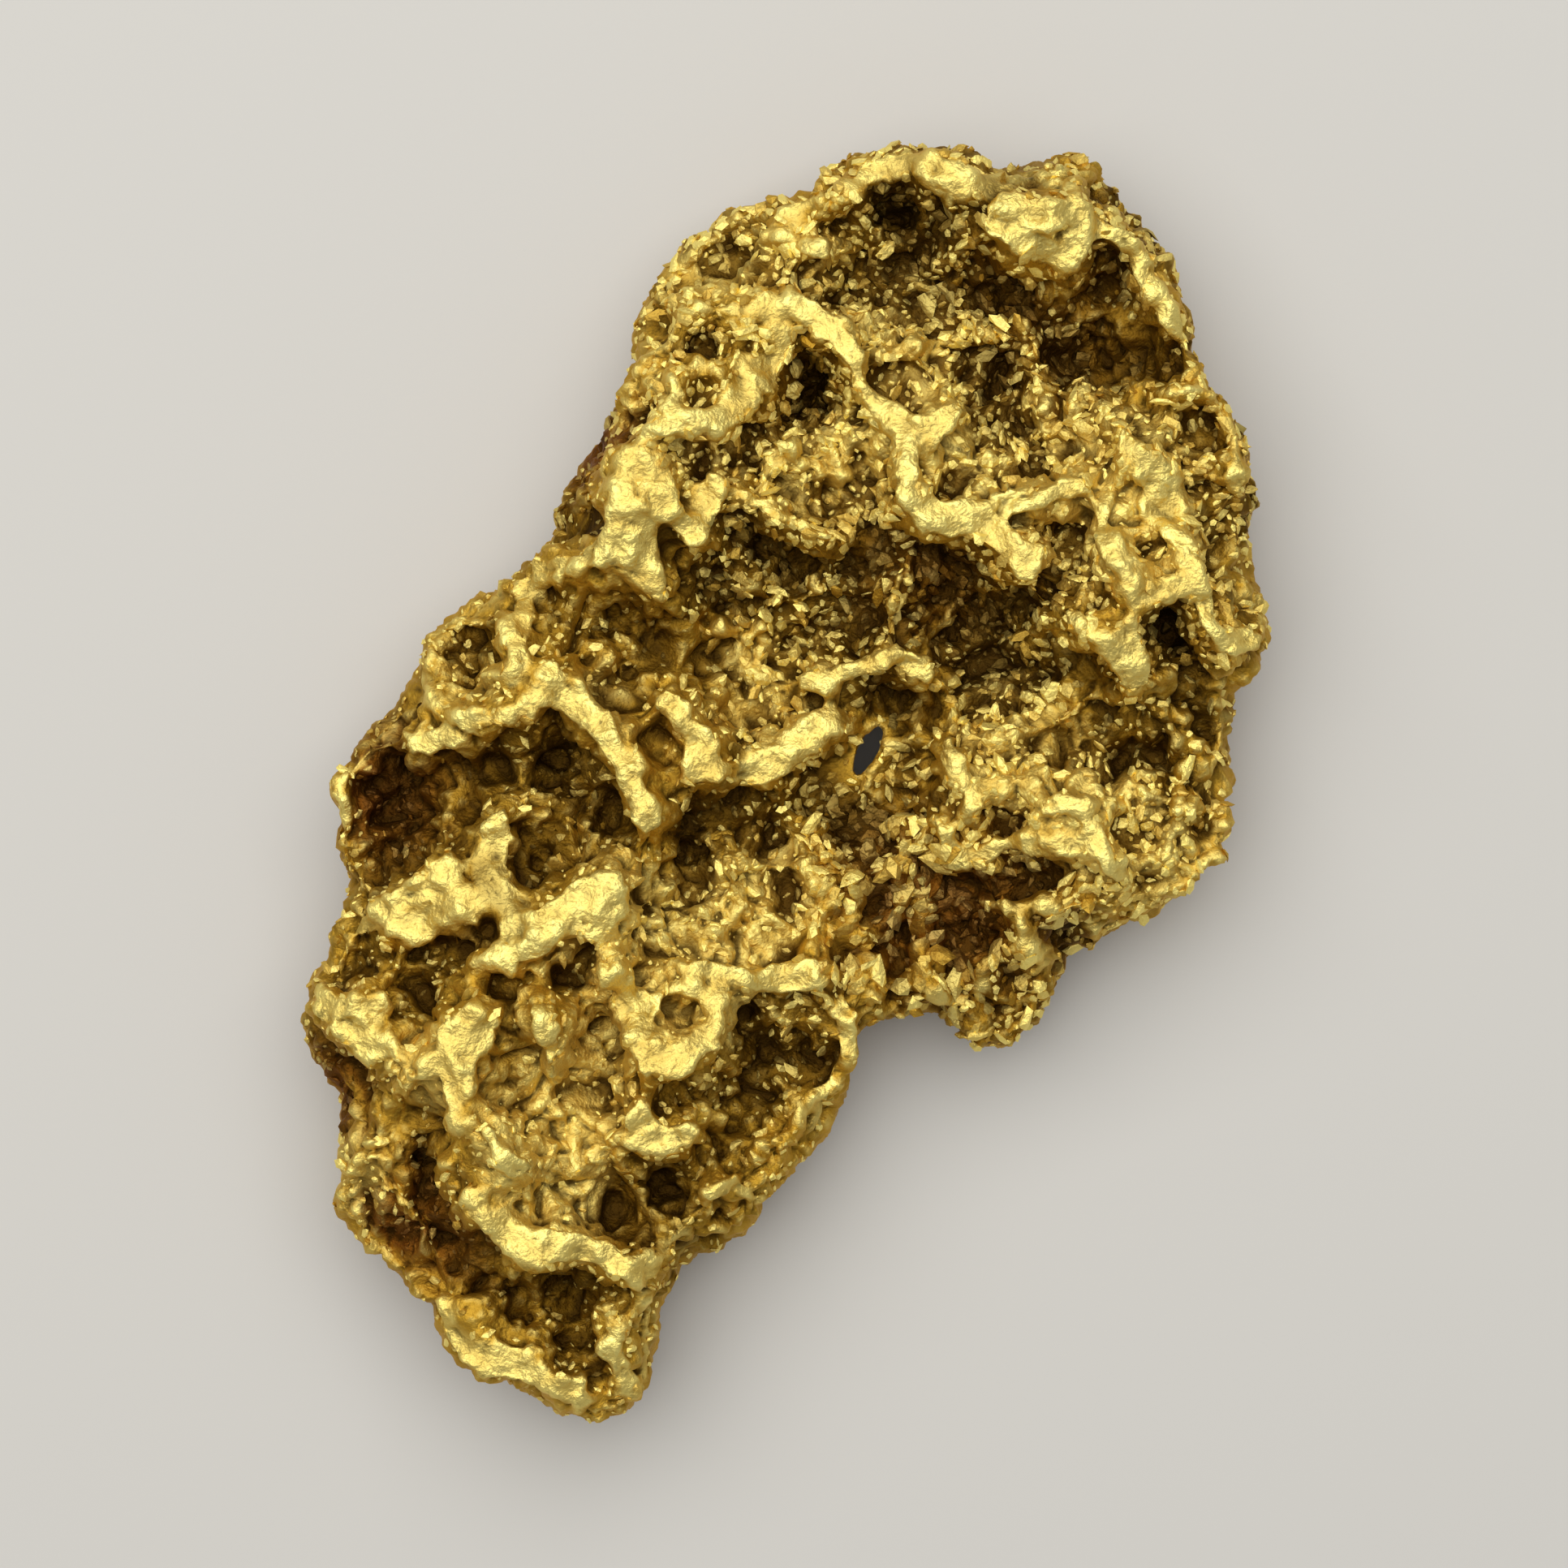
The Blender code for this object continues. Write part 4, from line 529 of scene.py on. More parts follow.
def wall_thickness(obj):
    """How far it is from each vertex, straight in, to the other side of the metal, in millimetres."""
    tree = BVHTree.FromObject(obj, bpy.context.evaluated_depsgraph_get())
    rays = zip(vertex_array(obj) - RAY_START * normal_array(obj), -normal_array(obj))
    return np.array([tree.ray_cast(Vector(start), Vector(way), WALL_REACH)[3] or WALL_REACH
                     for start, way in rays])


places, normals = vertex_array(skin), normal_array(skin)
wall = wall_thickness(skin)
pit = upward * hollowness(skin, MIDDLE_ROUNDS)
too_deep = pit - PIT_FILL[0]
fill = PIT_FILL[1] * 0.5 * (too_deep + np.sqrt(too_deep**2 + PIT_BLEND**2))
places[:, 2] += off_the_hole(places) * upward * smoothstep(0.0, FILL_FROM, pit) * fill
rough = (1.0 - CREST_CALM * crest) * smoothstep(RESTING, CLEAR_OF_FLOOR, places[:, 2])
rough *= at_least(HOLE_ROUGH, off_the_hole(places))
rough *= at_least(TOP_ROUGH, smoothstep(*TOP_DEPTHS, depth))
rough *= 1.0 - PIT_CALM * smoothstep(*PIT_DEPTHS, pit)
steep = 1.0 - smoothstep(*WALL_RISES, np.abs(normals[:, 2]))
rough *= 1.0 - WALL_CALM * steep
strayed = places + np.column_stack([lumps(places, DOME_STRAY, seed) for seed in (81, 83, 85)])
swell = sum(rise * (domes(strayed, size, 100 + 7 * i) - 0.5) for i, (size, rise) in enumerate(FLOOR_CELLS))
outward = rough * (swell + lumps(places, FLOOR_LUMPS, 75)) + crest * lumps(places, CREST_LUMPS, 71)
outward = np.maximum(outward, -WALL_GIVE * wall)
places += normals * outward[:, None]
places[:, 2] = np.maximum(places[:, 2], 0.0)
move_vertices(skin, places)
spike = off_the_hole(places) * smoothstep(*SPIKE, -hollowness(skin, SPIKE_ROUNDS[0]))
places += spike[:, None] * (relaxed_places(skin, SPIKE_ROUNDS[1]) - places)
move_vertices(skin, places)
print("share of the skin on spikes:", round(float(spike.mean()), 4))
depth = depth - outward
crease = hollowness(skin, NARROW_ROUNDS)
proud = -hollowness(skin, MIDDLE_ROUNDS)
normals = normal_array(skin)
level = smoothstep(*LEVEL, normals[:, 2])
worn = smoothstep(*WORN, WORN_CREST * crest + WORN_PROUD * smoothstep(0.0, PROUD, proud))
worn *= at_least(WORN_STEEP, level)
print("the floor rises and falls by", np.percentile(outward, [2, 98]).round(2), "mm")
print("creases, mm:", np.percentile(crease, [2, 25, 50, 75, 98]).round(3))

# %% [markdown]
# ## Grains
#
# In the hollows the metal's grains stand out one by one, as crowded blunt crystals of a quarter of a
# millimetre, and they are what makes an unworn hollow sparkle. A bump texture would shade but not glint
# like that, so they are real geometry. A shuffle with a fixed seed runs through the skin's own vertices
# and keeps those that aren't too near one kept before, so no two grains grow out of the same place.

# %% Choose where the grains sit
GRAIN_SPACING = 0.18
GRAIN_WALL = (0.20, 0.35)  # no grain sits on a wall thinner than the first, in millimetres
GRAIN_CROWD = 0.45  # the chance that a vertex of an unworn hollow is offered to a grain
BARE_PATCHES = ((1.7, 0.7), (0.6, 0.5))  # sizes and strengths of the patches that have lost their grains
BARE_KEEPS, BARE_EDGE = 0.15, (-0.35, 0.15)  # the share left in a patch, and the noise at its edge
RUBBED_OFF = 0.95  # the share of the grains that is lost by wear, and again on a crest
RUBBED_WORN, RUBBED_CREST = (0.0, 0.3), (0.2, 0.6)  # over these the loss by each sets in
FINE_SIDE, FINE_SLANT = (1.0, -2.0), 0.4  # the grains get finer towards the lower left, across this line
FINE_LOSS = 0.6  # the share of the grains that is lost there
SIDE_KEEPS, SIDE_RISES = 0.07, (0.2, 0.6)  # the share left on the sides, and the normal's rises it grows over
GRAIN_HEIGHTS = (0.35, 0.6)  # heights over the floor between which the grains set in
COARSE = (2.0, -3.2, 3.2)  # middle and radius of the part by the waist where the grains are coarse


def scatter(sites, spacing):
    """The sites, taken in a shuffled order, that aren't within spacing of one already taken."""
    taken, cells = [], {}
    keys = np.floor(sites / spacing).astype(int)
    for i in rng.permutation(len(sites)):
        p, (x, y, z) = sites[i], keys[i]
        around = (cells.get((x + a, y + b, z + c), ())
                  for a in (-1, 0, 1) for b in (-1, 0, 1) for c in (-1, 0, 1))
        if all(np.dot(p - q, p - q) > spacing**2 for found in around for q in found):
            cells.setdefault((x, y, z), []).append(p)
            taken.append(i)
    return np.array(taken)


places, normals = vertex_array(skin), normal_array(skin)
likely = at_least(BARE_KEEPS, smoothstep(*BARE_EDGE, lumps(places, BARE_PATCHES, 33)))
unworn = 1.0 - RUBBED_OFF * smoothstep(*RUBBED_WORN, worn)
likely *= unworn * (1.0 - RUBBED_OFF * smoothstep(*RUBBED_CREST, crest))
likely *= off_the_hole(places)
fine = smoothstep(*FINE_SIDE, places[:, 0] + FINE_SLANT * places[:, 1])
likely *= 1.0 - FINE_LOSS * fine
likely *= at_least(SIDE_KEEPS, smoothstep(*SIDE_RISES, normals[:, 2]))
likely *= smoothstep(*GRAIN_HEIGHTS, places[:, 2]) * smoothstep(*GRAIN_WALL, wall)
candidates = np.flatnonzero(rng.random(len(places)) < GRAIN_CROWD * likely)
sites = candidates[scatter(places[candidates], GRAIN_SPACING)]
print(len(sites), "grains")

# %% [markdown]
# Every grain starts as the same ball of twenty faces. An operator makes one at a time, and it has to
# step through all that its bmesh already holds, so a hundred are made once and that batch is appended
# over and over. The corners then take their places in one sweep: each ball is stretched, turned to lie
# along the skin, sunk a little into it, and dented at random.

# %% Make the grains
BATCH = 100
BALL_CORNERS = 12
GRAIN_RADII = (0.06, 0.18)  # smallest and largest half-length across the skin, in millimetres
GRAIN_BIAS = 1.5  # a power over 1 makes small grains commoner than large ones
GRAIN_STRETCH = 2.1  # the most that a grain is longer than it is wide
GRAIN_FLATNESS = (0.35, 0.65)  # least and greatest height, as a share of the width
COARSE_MORE, FINE_LESS = 0.6, 0.3  # how much wider or narrower the coarse and the fine ones are, as shares
GRAIN_TILT = 0.25  # how far a grain leans, as a share of upright
GRAIN_SUNK = 0.25  # the most that a grain reaches down, as a share of the wall that it sits on
GRAIN_SET = 0.25  # how far a grain's middle lies under the skin, as a share of its height
GRAIN_DENTS = 0.34  # how far a corner strays, as a share of the radius
UPPER_FROM = 1.5  # the grains are split in two pieces here along the nugget, to keep each one small


def ball_batch():
    bm = bmesh.new()
    for _ in range(BATCH):
        bmesh.ops.create_icosphere(bm, subdivisions=1, radius=1.0)
    mesh = bpy.data.meshes.new("ball_batch")
    bm.to_mesh(mesh)
    bm.free()
    return mesh


def grain_piece(name, chosen):
    """A piece of grains on the chosen vertices of the skin, and the vertex that each corner belongs to."""
    batch = ball_batch()
    chosen = chosen[:len(chosen) // BATCH * BATCH]
    bm = bmesh.new()
    for _ in range(len(chosen) // BATCH):
        bm.from_mesh(batch)
    piece = mesh_object(name, bm)
    ball = vertex_array(piece)[:BALL_CORNERS]
    count = len(chosen)
    off_middle = ((places[chosen, :2] - COARSE[:2]) ** 2).sum(1)
    coarse = 1.0 + COARSE_MORE * np.exp(-(off_middle / COARSE[2] ** 2))
    least, most = GRAIN_RADII
    width = (least + (most - least) * rng.random(count) ** GRAIN_BIAS) * coarse
    width *= 1.0 - FINE_LESS * fine[chosen]
    length = width * rng.uniform(1.0, GRAIN_STRETCH, count)
    height = width * rng.uniform(*GRAIN_FLATNESS, count)
    height = np.minimum(height, GRAIN_SUNK * wall[chosen])
    up = normals[chosen] + GRAIN_TILT * rng.normal(size=(count, 3))
    up /= np.linalg.norm(up, axis=1)[:, None]
    side = np.cross(up, rng.normal(size=(count, 3)))
    side /= np.linalg.norm(side, axis=1)[:, None]
    axes = np.stack([side * length[:, None], np.cross(up, side) * width[:, None], up * height[:, None]], 1)
    dented = ball[None] * (1.0 + GRAIN_DENTS * rng.uniform(-1.0, 1.0, (count, BALL_CORNERS, 1)))
    middles = places[chosen] - up * (GRAIN_SET * height[:, None])
    move_vertices(piece, (middles[:, None] + dented @ axes).reshape(-1, 3))
    bpy.data.meshes.remove(batch)
    return piece, np.repeat(chosen, BALL_CORNERS)


upper = places[sites, 1] > UPPER_FROM
upper_grains, upper_sites = grain_piece("upper_grains", sites[upper])
lower_grains, lower_sites = grain_piece("lower_grains", sites[~upper])
print("triangles in grains:", len(upper_grains.data.polygons), "and", len(lower_grains.data.polygons))

# %% [markdown]
# ## Stain and painted shade
#
# Iron oxide gathers in the deep parts, but not evenly: some hollows are nearly black and some slopes
# are bright and clean. Where it lies is drawn as soft round patches, and beside some ridges a dark
# patch is painted shade. The depth darkens the metal further, as oxide and as painted shade, and the
# hollows as painted shade. A second list says where the oxide is rust-red; elsewhere it is olive brown.

# %% Draw the stains and the painted shade
STAIN_AND_SHADE_PATCHES = [  # x, y, radius, and how much darker (or, below 0, brighter) the metal is there; the darkening is oxide, and beside some ridges painted shade
    (3.0, 13.5, 1.4, 0.8), (5.4, 11.0, 1.7, 0.4), (7.8, 12.2, 1.3, 0.2), (0.6, 9.9, 0.9, 0.9),
    (9.2, 10.2, 1.2, 0.5), (-2.6, 5.0, 1.6, 0.5), (0.6, 5.6, 1.8, 0.7), (3.4, 5.4, 1.5, 0.5),
    (5.4, 4.0, 1.4, 0.3), (7.2, 3.0, 1.3, 0.4), (8.6, 1.8, 1.1, 0.3), (2.5, 2.1, 1.1, 1.1),
    (-6.4, 0.7, 2.0, 0.6), (-9.8, -0.3, 1.5, 1.2), (-2.0, -0.9, 1.2, 0.6), (-6.0, 4.0, 1.3, 0.3),
    (5.2, -2.6, 1.6, 1.1), (2.4, -2.4, 1.4, 0.4), (4.6, -5.0, 1.6, 0.5), (0.2, -6.6, 1.5, 0.6),
    (-2.9, -10.2, 1.2, 0.9), (-8.8, -9.6, 1.4, 0.5), (-6.0, -12.4, 2.2, 0.3), (-8.2, -11.6, 1.2, 0.5),
    (-6.4, -7.0, 1.0, 0.3), (-8.6, -4.6, 1.2, 0.4), (9.4, 3.7, 0.9, 0.5), (-5.2, 7.2, 1.0, 0.5),
    (2.0, -0.8, 1.6, 0.5), (-7.0, -3.0, 1.1, 0.9), (6.9, -3.4, 1.2, 0.6), (2.9, -5.1, 1.3, 0.5),
    (-5.2, -5.4, 1.0, 0.4), (-11.0, -7.0, 1.1, 0.7), (-3.0, -7.1, 1.0, 0.4), (-7.2, -11.0, 1.1, 0.6),
    (4.8, 15.2, 1.6, 0.5), (11.2, 7.0, 1.2, 0.4), (10.8, 9.4, 1.0, 0.4), (-1.8, 11.0, 1.5, 0.4),
    (3.0, 10.4, 1.9, -1.0), (3.4, 8.0, 1.4, -0.6), (-3.4, 7.6, 2.2, -0.7), (0.8, 7.2, 1.4, -1.1),
    (7.4, 7.0, 2.3, -1.1), (9.6, 6.0, 1.4, -0.4), (6.0, -0.4, 2.4, -0.9), (8.6, -1.6, 1.6, -0.6),
    (-4.8, 2.0, 1.6, -0.5), (0.2, 1.6, 1.4, -0.7), (-3.0, -4.6, 2.4, -1.1), (-0.4, -2.6, 1.4, -0.7),
    (-8.2, -6.6, 1.4, -0.6), (-5.6, -9.5, 1.9, -1.2), (-10.2, -9.6, 1.2, -0.6), (-9.6, -3.0, 1.4, -0.3),
    (-1.6, 12.2, 1.8, -0.5), (6.6, 13.4, 1.0, -0.4), (1.0, 13.0, 1.1, -0.5), (-0.4, 3.4, 1.8, -0.5),
    (5.2, 2.9, 1.3, -0.5), (-7.6, 2.7, 1.2, -0.5), (-5.2, -7.4, 1.3, -0.6), (-4.5, 8.2, 0.9, 1.1),
]
RUST = [
    (-10.0, -0.2, 1.6, 1.0), (4.8, -3.2, 2.2, 0.6), (-9.4, -11.0, 2.0, 0.9), (-11.2, -7.4, 1.2, 0.9),
    (6.2, 11.6, 2.4, 0.25), (-4.5, 8.2, 1.1, 1.0), (2.4, -3.0, 2.0, 0.5), (3.4, 5.2, 1.6, 0.4),
]


DEPTH_STAIN_AND_SHADE, STAIN_AND_SHADE_DEEPEST = 0.50, 2.4  # the stain and painted shade for a millimetre of depth, and the depth they end at
PATCH_HEIGHTS = (0.5, 2.0)  # heights over the floor between which the patches set in
HOLLOW_SHADE, HOLLOW_DEPTHS = 0.9, (0.02, 0.22)  # the painted shade of a small hollow, and the depths it grows over
HOLLOW_EVEN = 0.1  # taken off that, so that even metal is painted a little paler
BROAD_SHADE_AND_LIGHT, BROAD_DEPTH = 0.55, 0.15  # the painted shade of a broad hollow this deep, and as much painted light on a mound


def patches(places, spots):
    """Soft round patches added up, each x, y, radius and strength, in the plane of the lines."""
    xy = drawn(places)
    total = np.zeros(len(xy))
    for x, y, radius, strength in spots:
        total += strength * np.exp(-((xy[:, 0] - x) ** 2 + (xy[:, 1] - y) ** 2) / radius**2)
    return total


# the deeper a place lies, the darker it is: oxide, and painted shade
stain = DEPTH_STAIN_AND_SHADE * np.minimum(depth, STAIN_AND_SHADE_DEEPEST)
stain = stain + patches(places, STAIN_AND_SHADE_PATCHES) * smoothstep(*PATCH_HEIGHTS, places[:, 2])
# painted shade in the small hollows
stain += HOLLOW_SHADE * upward * (smoothstep(*HOLLOW_DEPTHS, -proud) - HOLLOW_EVEN)
# painted shade in broad hollows, painted light on broad mounds
stain += BROAD_SHADE_AND_LIGHT * upward * np.clip(basin / BROAD_DEPTH, -1.0, 1.0)
rust = np.clip(patches(places, RUST), 0.0, 1.0)
print("stain:", np.percentile(stain, [2, 25, 50, 75, 98]).round(2))

# %% [markdown]
# ## Masks for the finish
#
# The shader needs to know what the geometry knows: how worn, how deep and how creased each point is,
# for depth and creases are also painted in as shade.
# These are stored as attributes of the mesh, which follow the surface and survive an export. A tone
# is stored too, one for each grain, so that no two neighbours reflect quite alike; it also carries
# a painted highlight on the level tips of the skin.
#
# By now the skin has far more triangles than it needs, because the fine ones are as many on a smooth
# crest as in a crease. Collapsing the edges that matter least leaves two fifths, and hardly shows.
#
# In places the roughness folds the skin a little over itself. Triangles that cross without sharing a
# corner are found and relaxed with their neighbours, which leaves only a handful of them.

# %% Store the masks, thin the skin out and go back to metres
SKIN_TRIANGLES = 196_000
UNTANGLE_ROUNDS = 12
MOTTLE = ((1.1, 0.5), (0.45, 0.5), (0.22, 0.5))  # sizes and strengths of the uneven tone of all metal
WORN_UNEVEN = (0.9, 0.4)  # the wear is kept by the first, and varies with the mottle by the second
CLEAN = (0.1, -0.6)  # sums of the stain and shade patches between which the metal begins to be clean
GRAINY = (0.1, 0.6)  # chances of a grain between which the skin under the grains darkens, as painted shade
SHADED = (-0.1, 0.5)  # the normal's rises over which the painted shade of creases, and the full tone of grains, set in
TIP_HIGHLIGHT, TIP_HEIGHT = 0.8, 0.07  # the painted highlight of a level point that stands this far out of its surroundings
MOTTLE_TONE, CLEAN_TONE, SKIN_TONE = 0.3, 0.45, -0.1  # what these add to the skin's tone
SIDE_SHADED_TONE, CLEAN_GRAIN = 0.3, 0.3  # the share of its tone that a grain keeps on a side, as painted shade, and what clean adds
GRAIN_LESS_STAIN_AND_SHADE, STAIN_AND_SHADE_HIDES = 0.30, (0.9, 1.8)  # less stain and painted shade on a grain than on the skin under it, but not where they are deep
GRAIN_TONE = 1.7  # the palest grain's tone on the face; past 1 a tone is as pale as it can be


def thin_out(obj, triangles):
    collapse = obj.modifiers.new("thin_out", "DECIMATE")
    collapse.ratio = triangles / len(obj.data.polygons)
    bake_modifiers(obj)
    obj.data.shade_smooth()


def crossed_faces(bm):
    """The numbers of the triangles that cross another one without sharing a corner with it."""
    tree = BVHTree.FromBMesh(bm)
    corners = np.array([[vertex.index for vertex in face.verts] for face in bm.faces])
    pairs = np.array(tree.overlap(tree))
    one, other = corners[pairs[:, 0]], corners[pairs[:, 1]]
    apart = ~(one[:, :, None] == other[:, None, :]).any(axis=(1, 2))
    return np.unique(pairs[apart])


def untangle(obj, rounds):
    """Relaxes the places where the mesh crosses itself, and says how many triangles did and still do."""
    bm = bmesh.new()
    bm.from_mesh(obj.data)
    bm.faces.ensure_lookup_table()
    counts = []
    for _ in range(rounds):
        crossed = crossed_faces(bm)
        counts.append(len(crossed))
        near = {vertex for number in crossed for vertex in bm.faces[number].verts}
        near |= {edge.other_vert(vertex) for vertex in near for edge in vertex.link_edges}
        bmesh.ops.smooth_vert(bm, verts=sorted(near, key=lambda vertex: vertex.index), factor=RELAX_SHARE,
                              use_axis_x=True, use_axis_y=True, use_axis_z=True)
    counts.append(len(crossed_faces(bm)))
    bm.to_mesh(obj.data)
    bm.free()
    return counts[0], counts[-1]


def store(obj, **masks):
    for name, values in masks.items():
        obj.data.attributes.new(name, "FLOAT", "POINT").data.foreach_set("value", values.astype(np.float32))


mottle = lumps(places, MOTTLE, 44)
clean = smoothstep(*CLEAN, patches(places, STAIN_AND_SHADE_PATCHES))
# painted shade on the skin between and under the grains
shade_under_grains = smoothstep(*GRAINY, likely)
shaded = smoothstep(*SHADED, normals[:, 2])
# painted highlight: level tips that stand out are made paler
tip_highlight = TIP_HIGHLIGHT * smoothstep(0.0, TIP_HEIGHT, -crease) * level
uneven_wear = worn * (WORN_UNEVEN[0] + WORN_UNEVEN[1] * mottle)
store(skin, worn=np.clip(uneven_wear, 0.0, 1.0), stain=stain + shade_under_grains, rust=rust, crease=crease * shaded,
      tone=MOTTLE_TONE * mottle + tip_highlight + CLEAN_TONE * clean + SKIN_TONE)
for piece, on in ((upper_grains, upper_sites), (lower_grains, lower_sites)):
    tone = np.repeat(rng.uniform(0.0, GRAIN_TONE, len(on) // BALL_CORNERS), BALL_CORNERS)
    # painted shade: grains on the sides keep only part of their paleness
    tone = tone * at_least(SIDE_SHADED_TONE, shaded[on]) + CLEAN_GRAIN * clean[on]
    shown = GRAIN_LESS_STAIN_AND_SHADE * (1.0 - smoothstep(*STAIN_AND_SHADE_HIDES, stain[on]))
    store(piece, worn=worn[on], stain=stain[on] - shown, rust=rust[on], crease=np.zeros(len(on)), tone=tone)
thin_out(skin, SKIN_TRIANGLES)
print("triangles that cross, before and after: %d, %d" % untangle(skin, UNTANGLE_ROUNDS))
nugget = (skin, upper_grains, lower_grains)
for piece in nugget:
    piece.data.transform(Matrix.Scale(MM, 4))
    piece.data.update()
print("skin:", len(skin.data.polygons), "triangles, box in mm", [round(v / MM, 2) for v in skin.dimensions])

# %% [markdown]
# ## Gold
#
# Native gold is a soft, dense metal with a deep yellow reflection and almost none of the blue. Rubbed
# by gravel it is satin, so its worn crests have a low but not mirror-like roughness. In the hollows a
# film of iron oxide lies on the crystals, which darkens and browns the metal and dulls it. The same
# browns are also painted in as shade, in hollows and creases, and the palest gold as highlights on level
# tips.

# %% Colours and a helper for nodes
def linear(hex_colour):
    """An sRGB hex colour as linear red, green and blue with full alpha."""
    channels = [int(hex_colour[i:i + 2], 16) / 255 for i in (1, 3, 5)]
    return (*[c / 12.92 if c <= 0.04045 else ((c + 0.055) / 1.055) ** 2.4 for c in channels], 1.0)


WORN_AND_HIGHLIGHT_GOLD = linear("#FFEB8A")  # rubbed crests, the tops of grains and painted highlights on level tips, palest
NATIVE_GOLD = linear("#C89E36")  # the metal as it grew
OLIVE_BROWN = linear("#6E4E12")  # thin iron oxide in the hollows, and painted shade there
RUST_BROWN = linear("#7E4010")  # the same where it is rust-red
DEEP_OXIDE_AND_SHADE = linear("#38250B")  # thick oxide and painted shade in creases and at the bottom of pits


def add_node(material, kind, inputs=None, **settings):
    """Adds a node with its settings. Each input named gets either a value or another node's output."""
    tree = material.node_tree
    node = tree.nodes.new(kind)
    for name, value in settings.items():
        setattr(node, name, value)
    for socket, given in (inputs or {}).items():
        if isinstance(given, bpy.types.NodeSocket):
            tree.links.new(given, node.inputs[socket])
        else:
            node.inputs[socket].default_value = given
    return node


# %% [markdown]
# The colour is built up in layers. Each has a mask, the range of the mask over which the layer fades
# in, how much it covers at most, and its colour.

# %% Build the gold
PER_METRE = 1.0 / MM  # a pattern's scale is how many of it fit in a metre
DRIFT_SIZE, DRIFT = 1.4, 0.35  # the stain and painted shade drift by this much either way, over so many millimetres
GRIT_SIZE, GRIT_HEIGHT = 0.14, 0.00006  # size in millimetres and height in metres of the finest grit
ROUGHNESS = (0.60, 0.48)  # of unworn and of rubbed metal


def gold(name):
    material = bpy.data.materials.new(name)
    material.use_nodes = True
    where = add_node(material, "ShaderNodeTexCoord").outputs["Object"]
    worn, stain, rust, crease, tone = (
        add_node(material, "ShaderNodeAttribute", attribute_name=mask).outputs["Fac"]
        for mask in ("worn", "stain", "rust", "crease", "tone"))
    patchy = add_node(material, "ShaderNodeTexNoise",
                      {"Vector": where, "Scale": PER_METRE / DRIFT_SIZE, "Detail": 4.0}).outputs["Fac"]
    drift = add_node(material, "ShaderNodeMapRange", {"Value": patchy, "From Min": 0.3, "From Max": 0.7,
                                                      "To Min": -DRIFT, "To Max": DRIFT}).outputs[0]
    # stain and painted shade together, drifting
    stained = add_node(material, "ShaderNodeMath", {0: stain, 1: drift}, operation="ADD").outputs[0]
    pale = add_node(material, "ShaderNodeMath", {0: worn, 1: tone}, operation="MAXIMUM").outputs[0]
    oxide_and_shade_tint = add_node(material, "ShaderNodeMix", {0: rust, 6: OLIVE_BROWN, 7: RUST_BROWN},
                     data_type="RGBA").outputs[2]
    metal = NATIVE_GOLD
    for mask, low, high, most, tint in (
            # wear, and painted highlights on level tips
            (pale, 0.0, 1.0, 1.0, WORN_AND_HIGHLIGHT_GOLD),
            # oxide, and painted shade, by depth and in hollows
            (stained, 0.15, 1.5, 0.9, oxide_and_shade_tint),
            (stained, 1.3, 2.6, 0.8, DEEP_OXIDE_AND_SHADE),
            # painted shade in creases
            (crease, 0.01, 0.06, 0.7, DEEP_OXIDE_AND_SHADE)):
        share = add_node(material, "ShaderNodeMapRange", {"Value": mask, "From Min": low, "From Max": high,
                                                          "To Max": most}).outputs[0]
        metal = add_node(material, "ShaderNodeMix", {0: share, 6: metal, 7: tint},
                         data_type="RGBA").outputs[2]
    polish = add_node(material, "ShaderNodeMapRange",
                      {"Value": worn, "To Min": ROUGHNESS[0], "To Max": ROUGHNESS[1]}).outputs[0]
    fine = add_node(material, "ShaderNodeTexNoise",
                    {"Vector": where, "Scale": PER_METRE / GRIT_SIZE, "Detail": 3.0}).outputs["Fac"]
    bump = add_node(material, "ShaderNodeBump",
                    {"Height": fine, "Strength": 1.0, "Distance": GRIT_HEIGHT}).outputs["Normal"]
    shader = material.node_tree.nodes["Principled BSDF"]
    shader.inputs["Metallic"].default_value = 1.0
    for socket, output in (("Base Color", metal), ("Roughness", polish), ("Normal", bump)):
        material.node_tree.links.new(output, shader.inputs[socket])
    return material


native_gold = gold("native_gold")
for piece in nugget:
    piece.data.materials.clear()
    piece.data.materials.append(native_gold)
    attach(piece, "root")
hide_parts("gold_nugget")
print("gold on", [piece.name for piece in nugget])

# %% [markdown]
# ## The studio
#
# The nugget lies face up on a plain pale floor, under one broad soft light in an evenly dim room. Metal
# shows what it reflects: the level crests mirror the light and go bright, and what slopes away from it
# mirrors the dim room. That is what makes the relief easy to read.

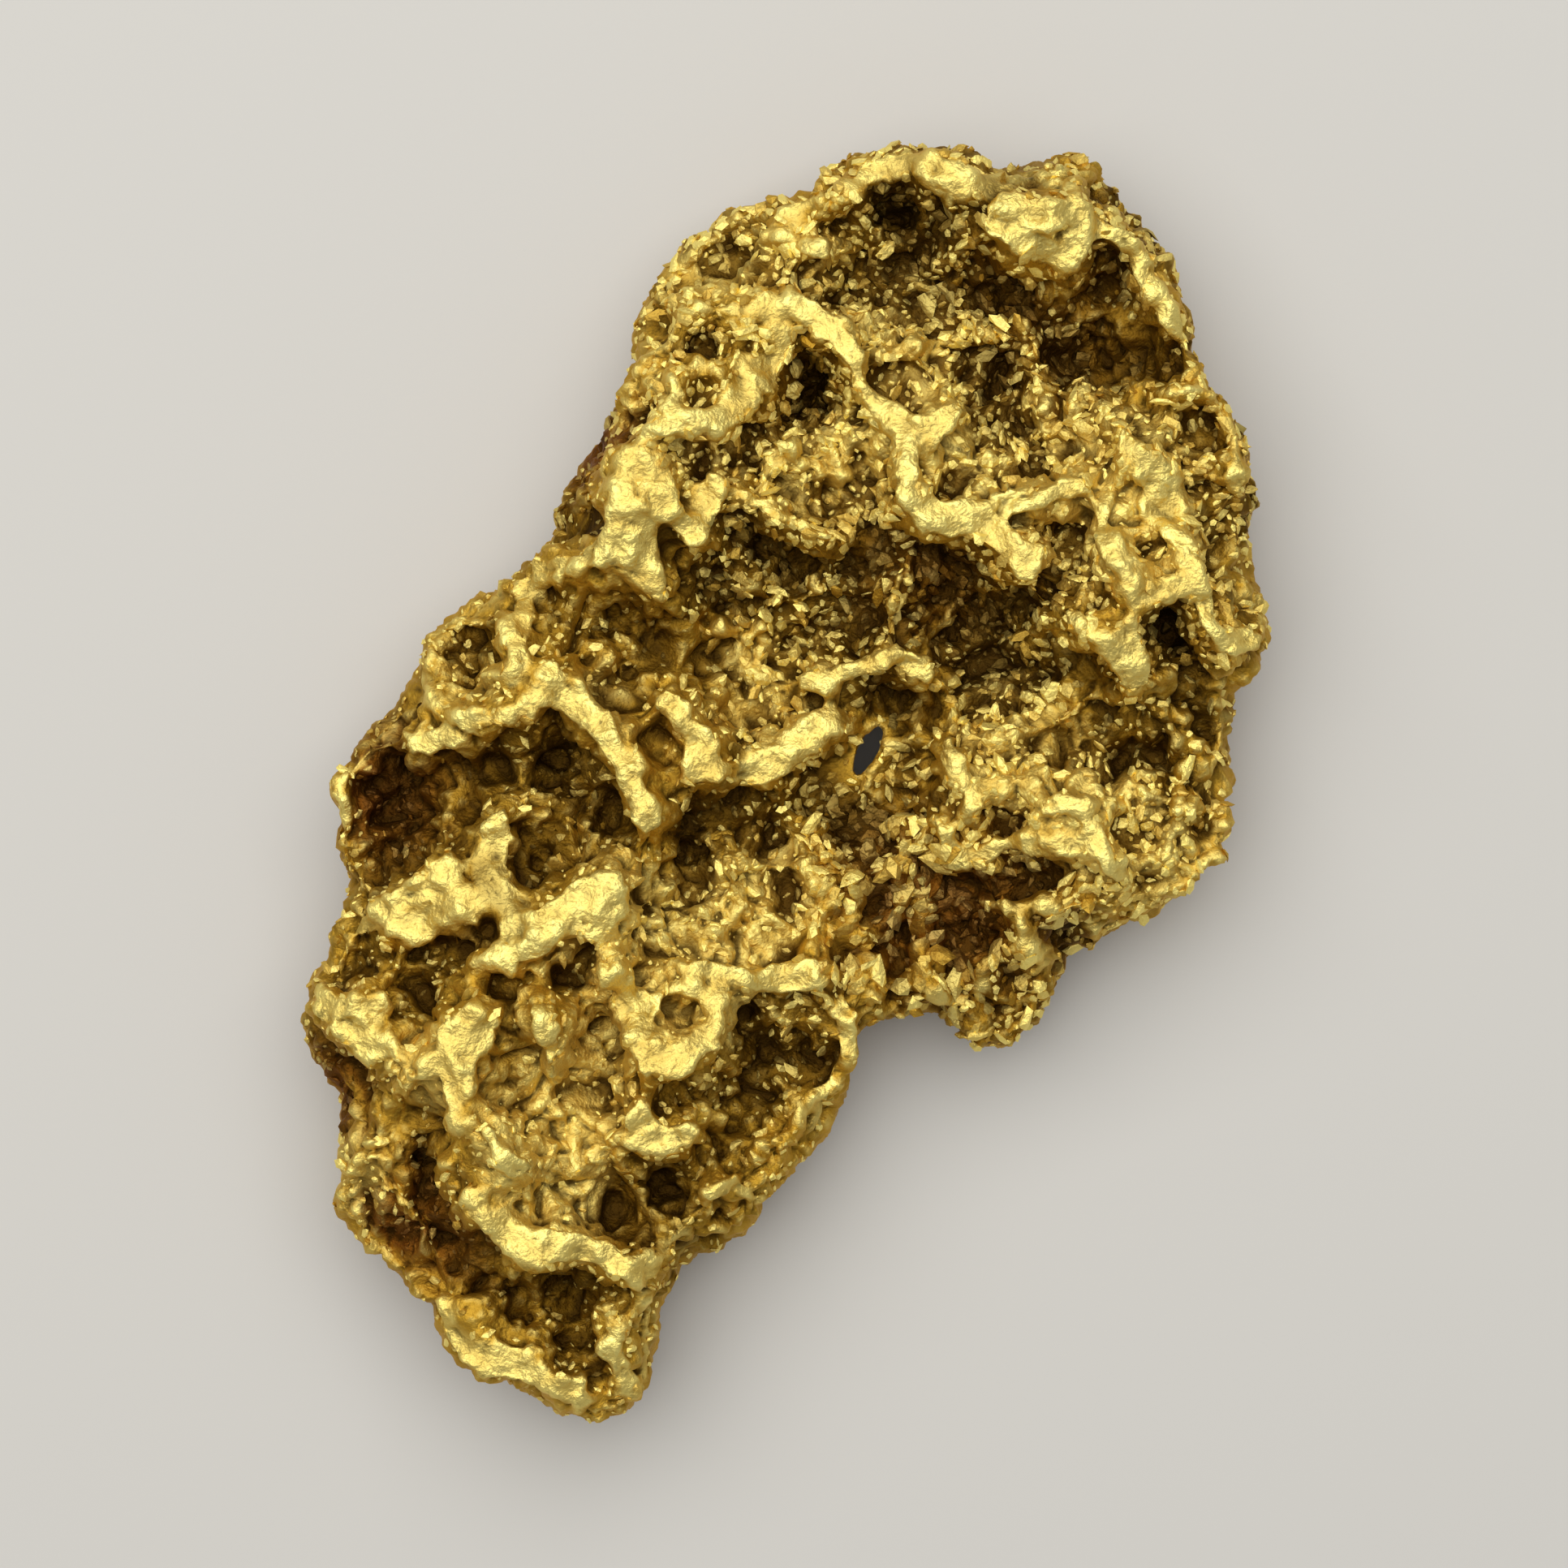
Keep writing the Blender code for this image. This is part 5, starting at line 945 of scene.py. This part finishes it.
# %% Floor
FLOOR_REACH = 0.6  # from the middle to each edge, in metres
floor_bm = bmesh.new()
bmesh.ops.create_grid(floor_bm, x_segments=1, y_segments=1, size=FLOOR_REACH)
floor = mesh_object("floor", floor_bm)
paper = bpy.data.materials.new("pale_paper")
paper.use_nodes = True
paper.node_tree.nodes["Principled BSDF"].inputs["Base Color"].default_value = linear("#CFCCC5")
paper.node_tree.nodes["Principled BSDF"].inputs["Roughness"].default_value = 0.85
floor.data.materials.append(paper)
print("floor:", [round(v, 2) for v in floor.dimensions], "m")


# %% Lights
SOFTBOX = {"place": (-0.03, 0.07, 0.20), "size": (0.34, 0.28), "watts": 0.61}  # metres and watts
ROOM_GREY = 0.30  # how bright the room is round the light


def soft_light(name, place, size, watts, target=(0.0, 0.0, 0.003)):
    light = bpy.data.lights.new(name, "AREA")
    light.shape = "RECTANGLE"
    light.size, light.size_y = size
    light.energy = watts
    obj = bpy.data.objects.new(name, light)
    obj.location = place
    obj.rotation_euler = (Vector(target) - Vector(place)).to_track_quat("-Z", "Y").to_euler()
    bpy.context.scene.collection.objects.link(obj)
    return obj


soft_light("overhead", **SOFTBOX)
world = bpy.data.worlds.new("dim_studio")
world.use_nodes = True
world.node_tree.nodes["Background"].inputs["Color"].default_value = (ROOM_GREY, ROOM_GREY, ROOM_GREY, 1.0)
bpy.context.scene.world = world
bpy.context.scene.view_settings.view_transform = "Standard"

# %% [markdown]
# The camera looks straight down, as one on a copy stand does. Its distance follows from the lens and
# the width of the frame: a longer lens further away makes the thick parts look less near.

# %% Camera
FRAME_WIDTH = 0.03864  # what the frame takes in at the height of the nugget's edge, in metres
EDGE_HEIGHT = 0.003
lens = bpy.data.cameras.new("copy_stand")
lens.lens = 100.0
lens.sensor_width = 36.0
lens.clip_start = 0.005
camera = bpy.data.objects.new("copy_stand", lens)
camera.location = (*(-MM * DRAWN_FROM), EDGE_HEIGHT + FRAME_WIDTH * lens.lens / lens.sensor_width)
bpy.context.scene.collection.objects.link(camera)
bpy.context.scene.camera = camera
print("camera height, mm:", round(camera.location.z / MM, 1))
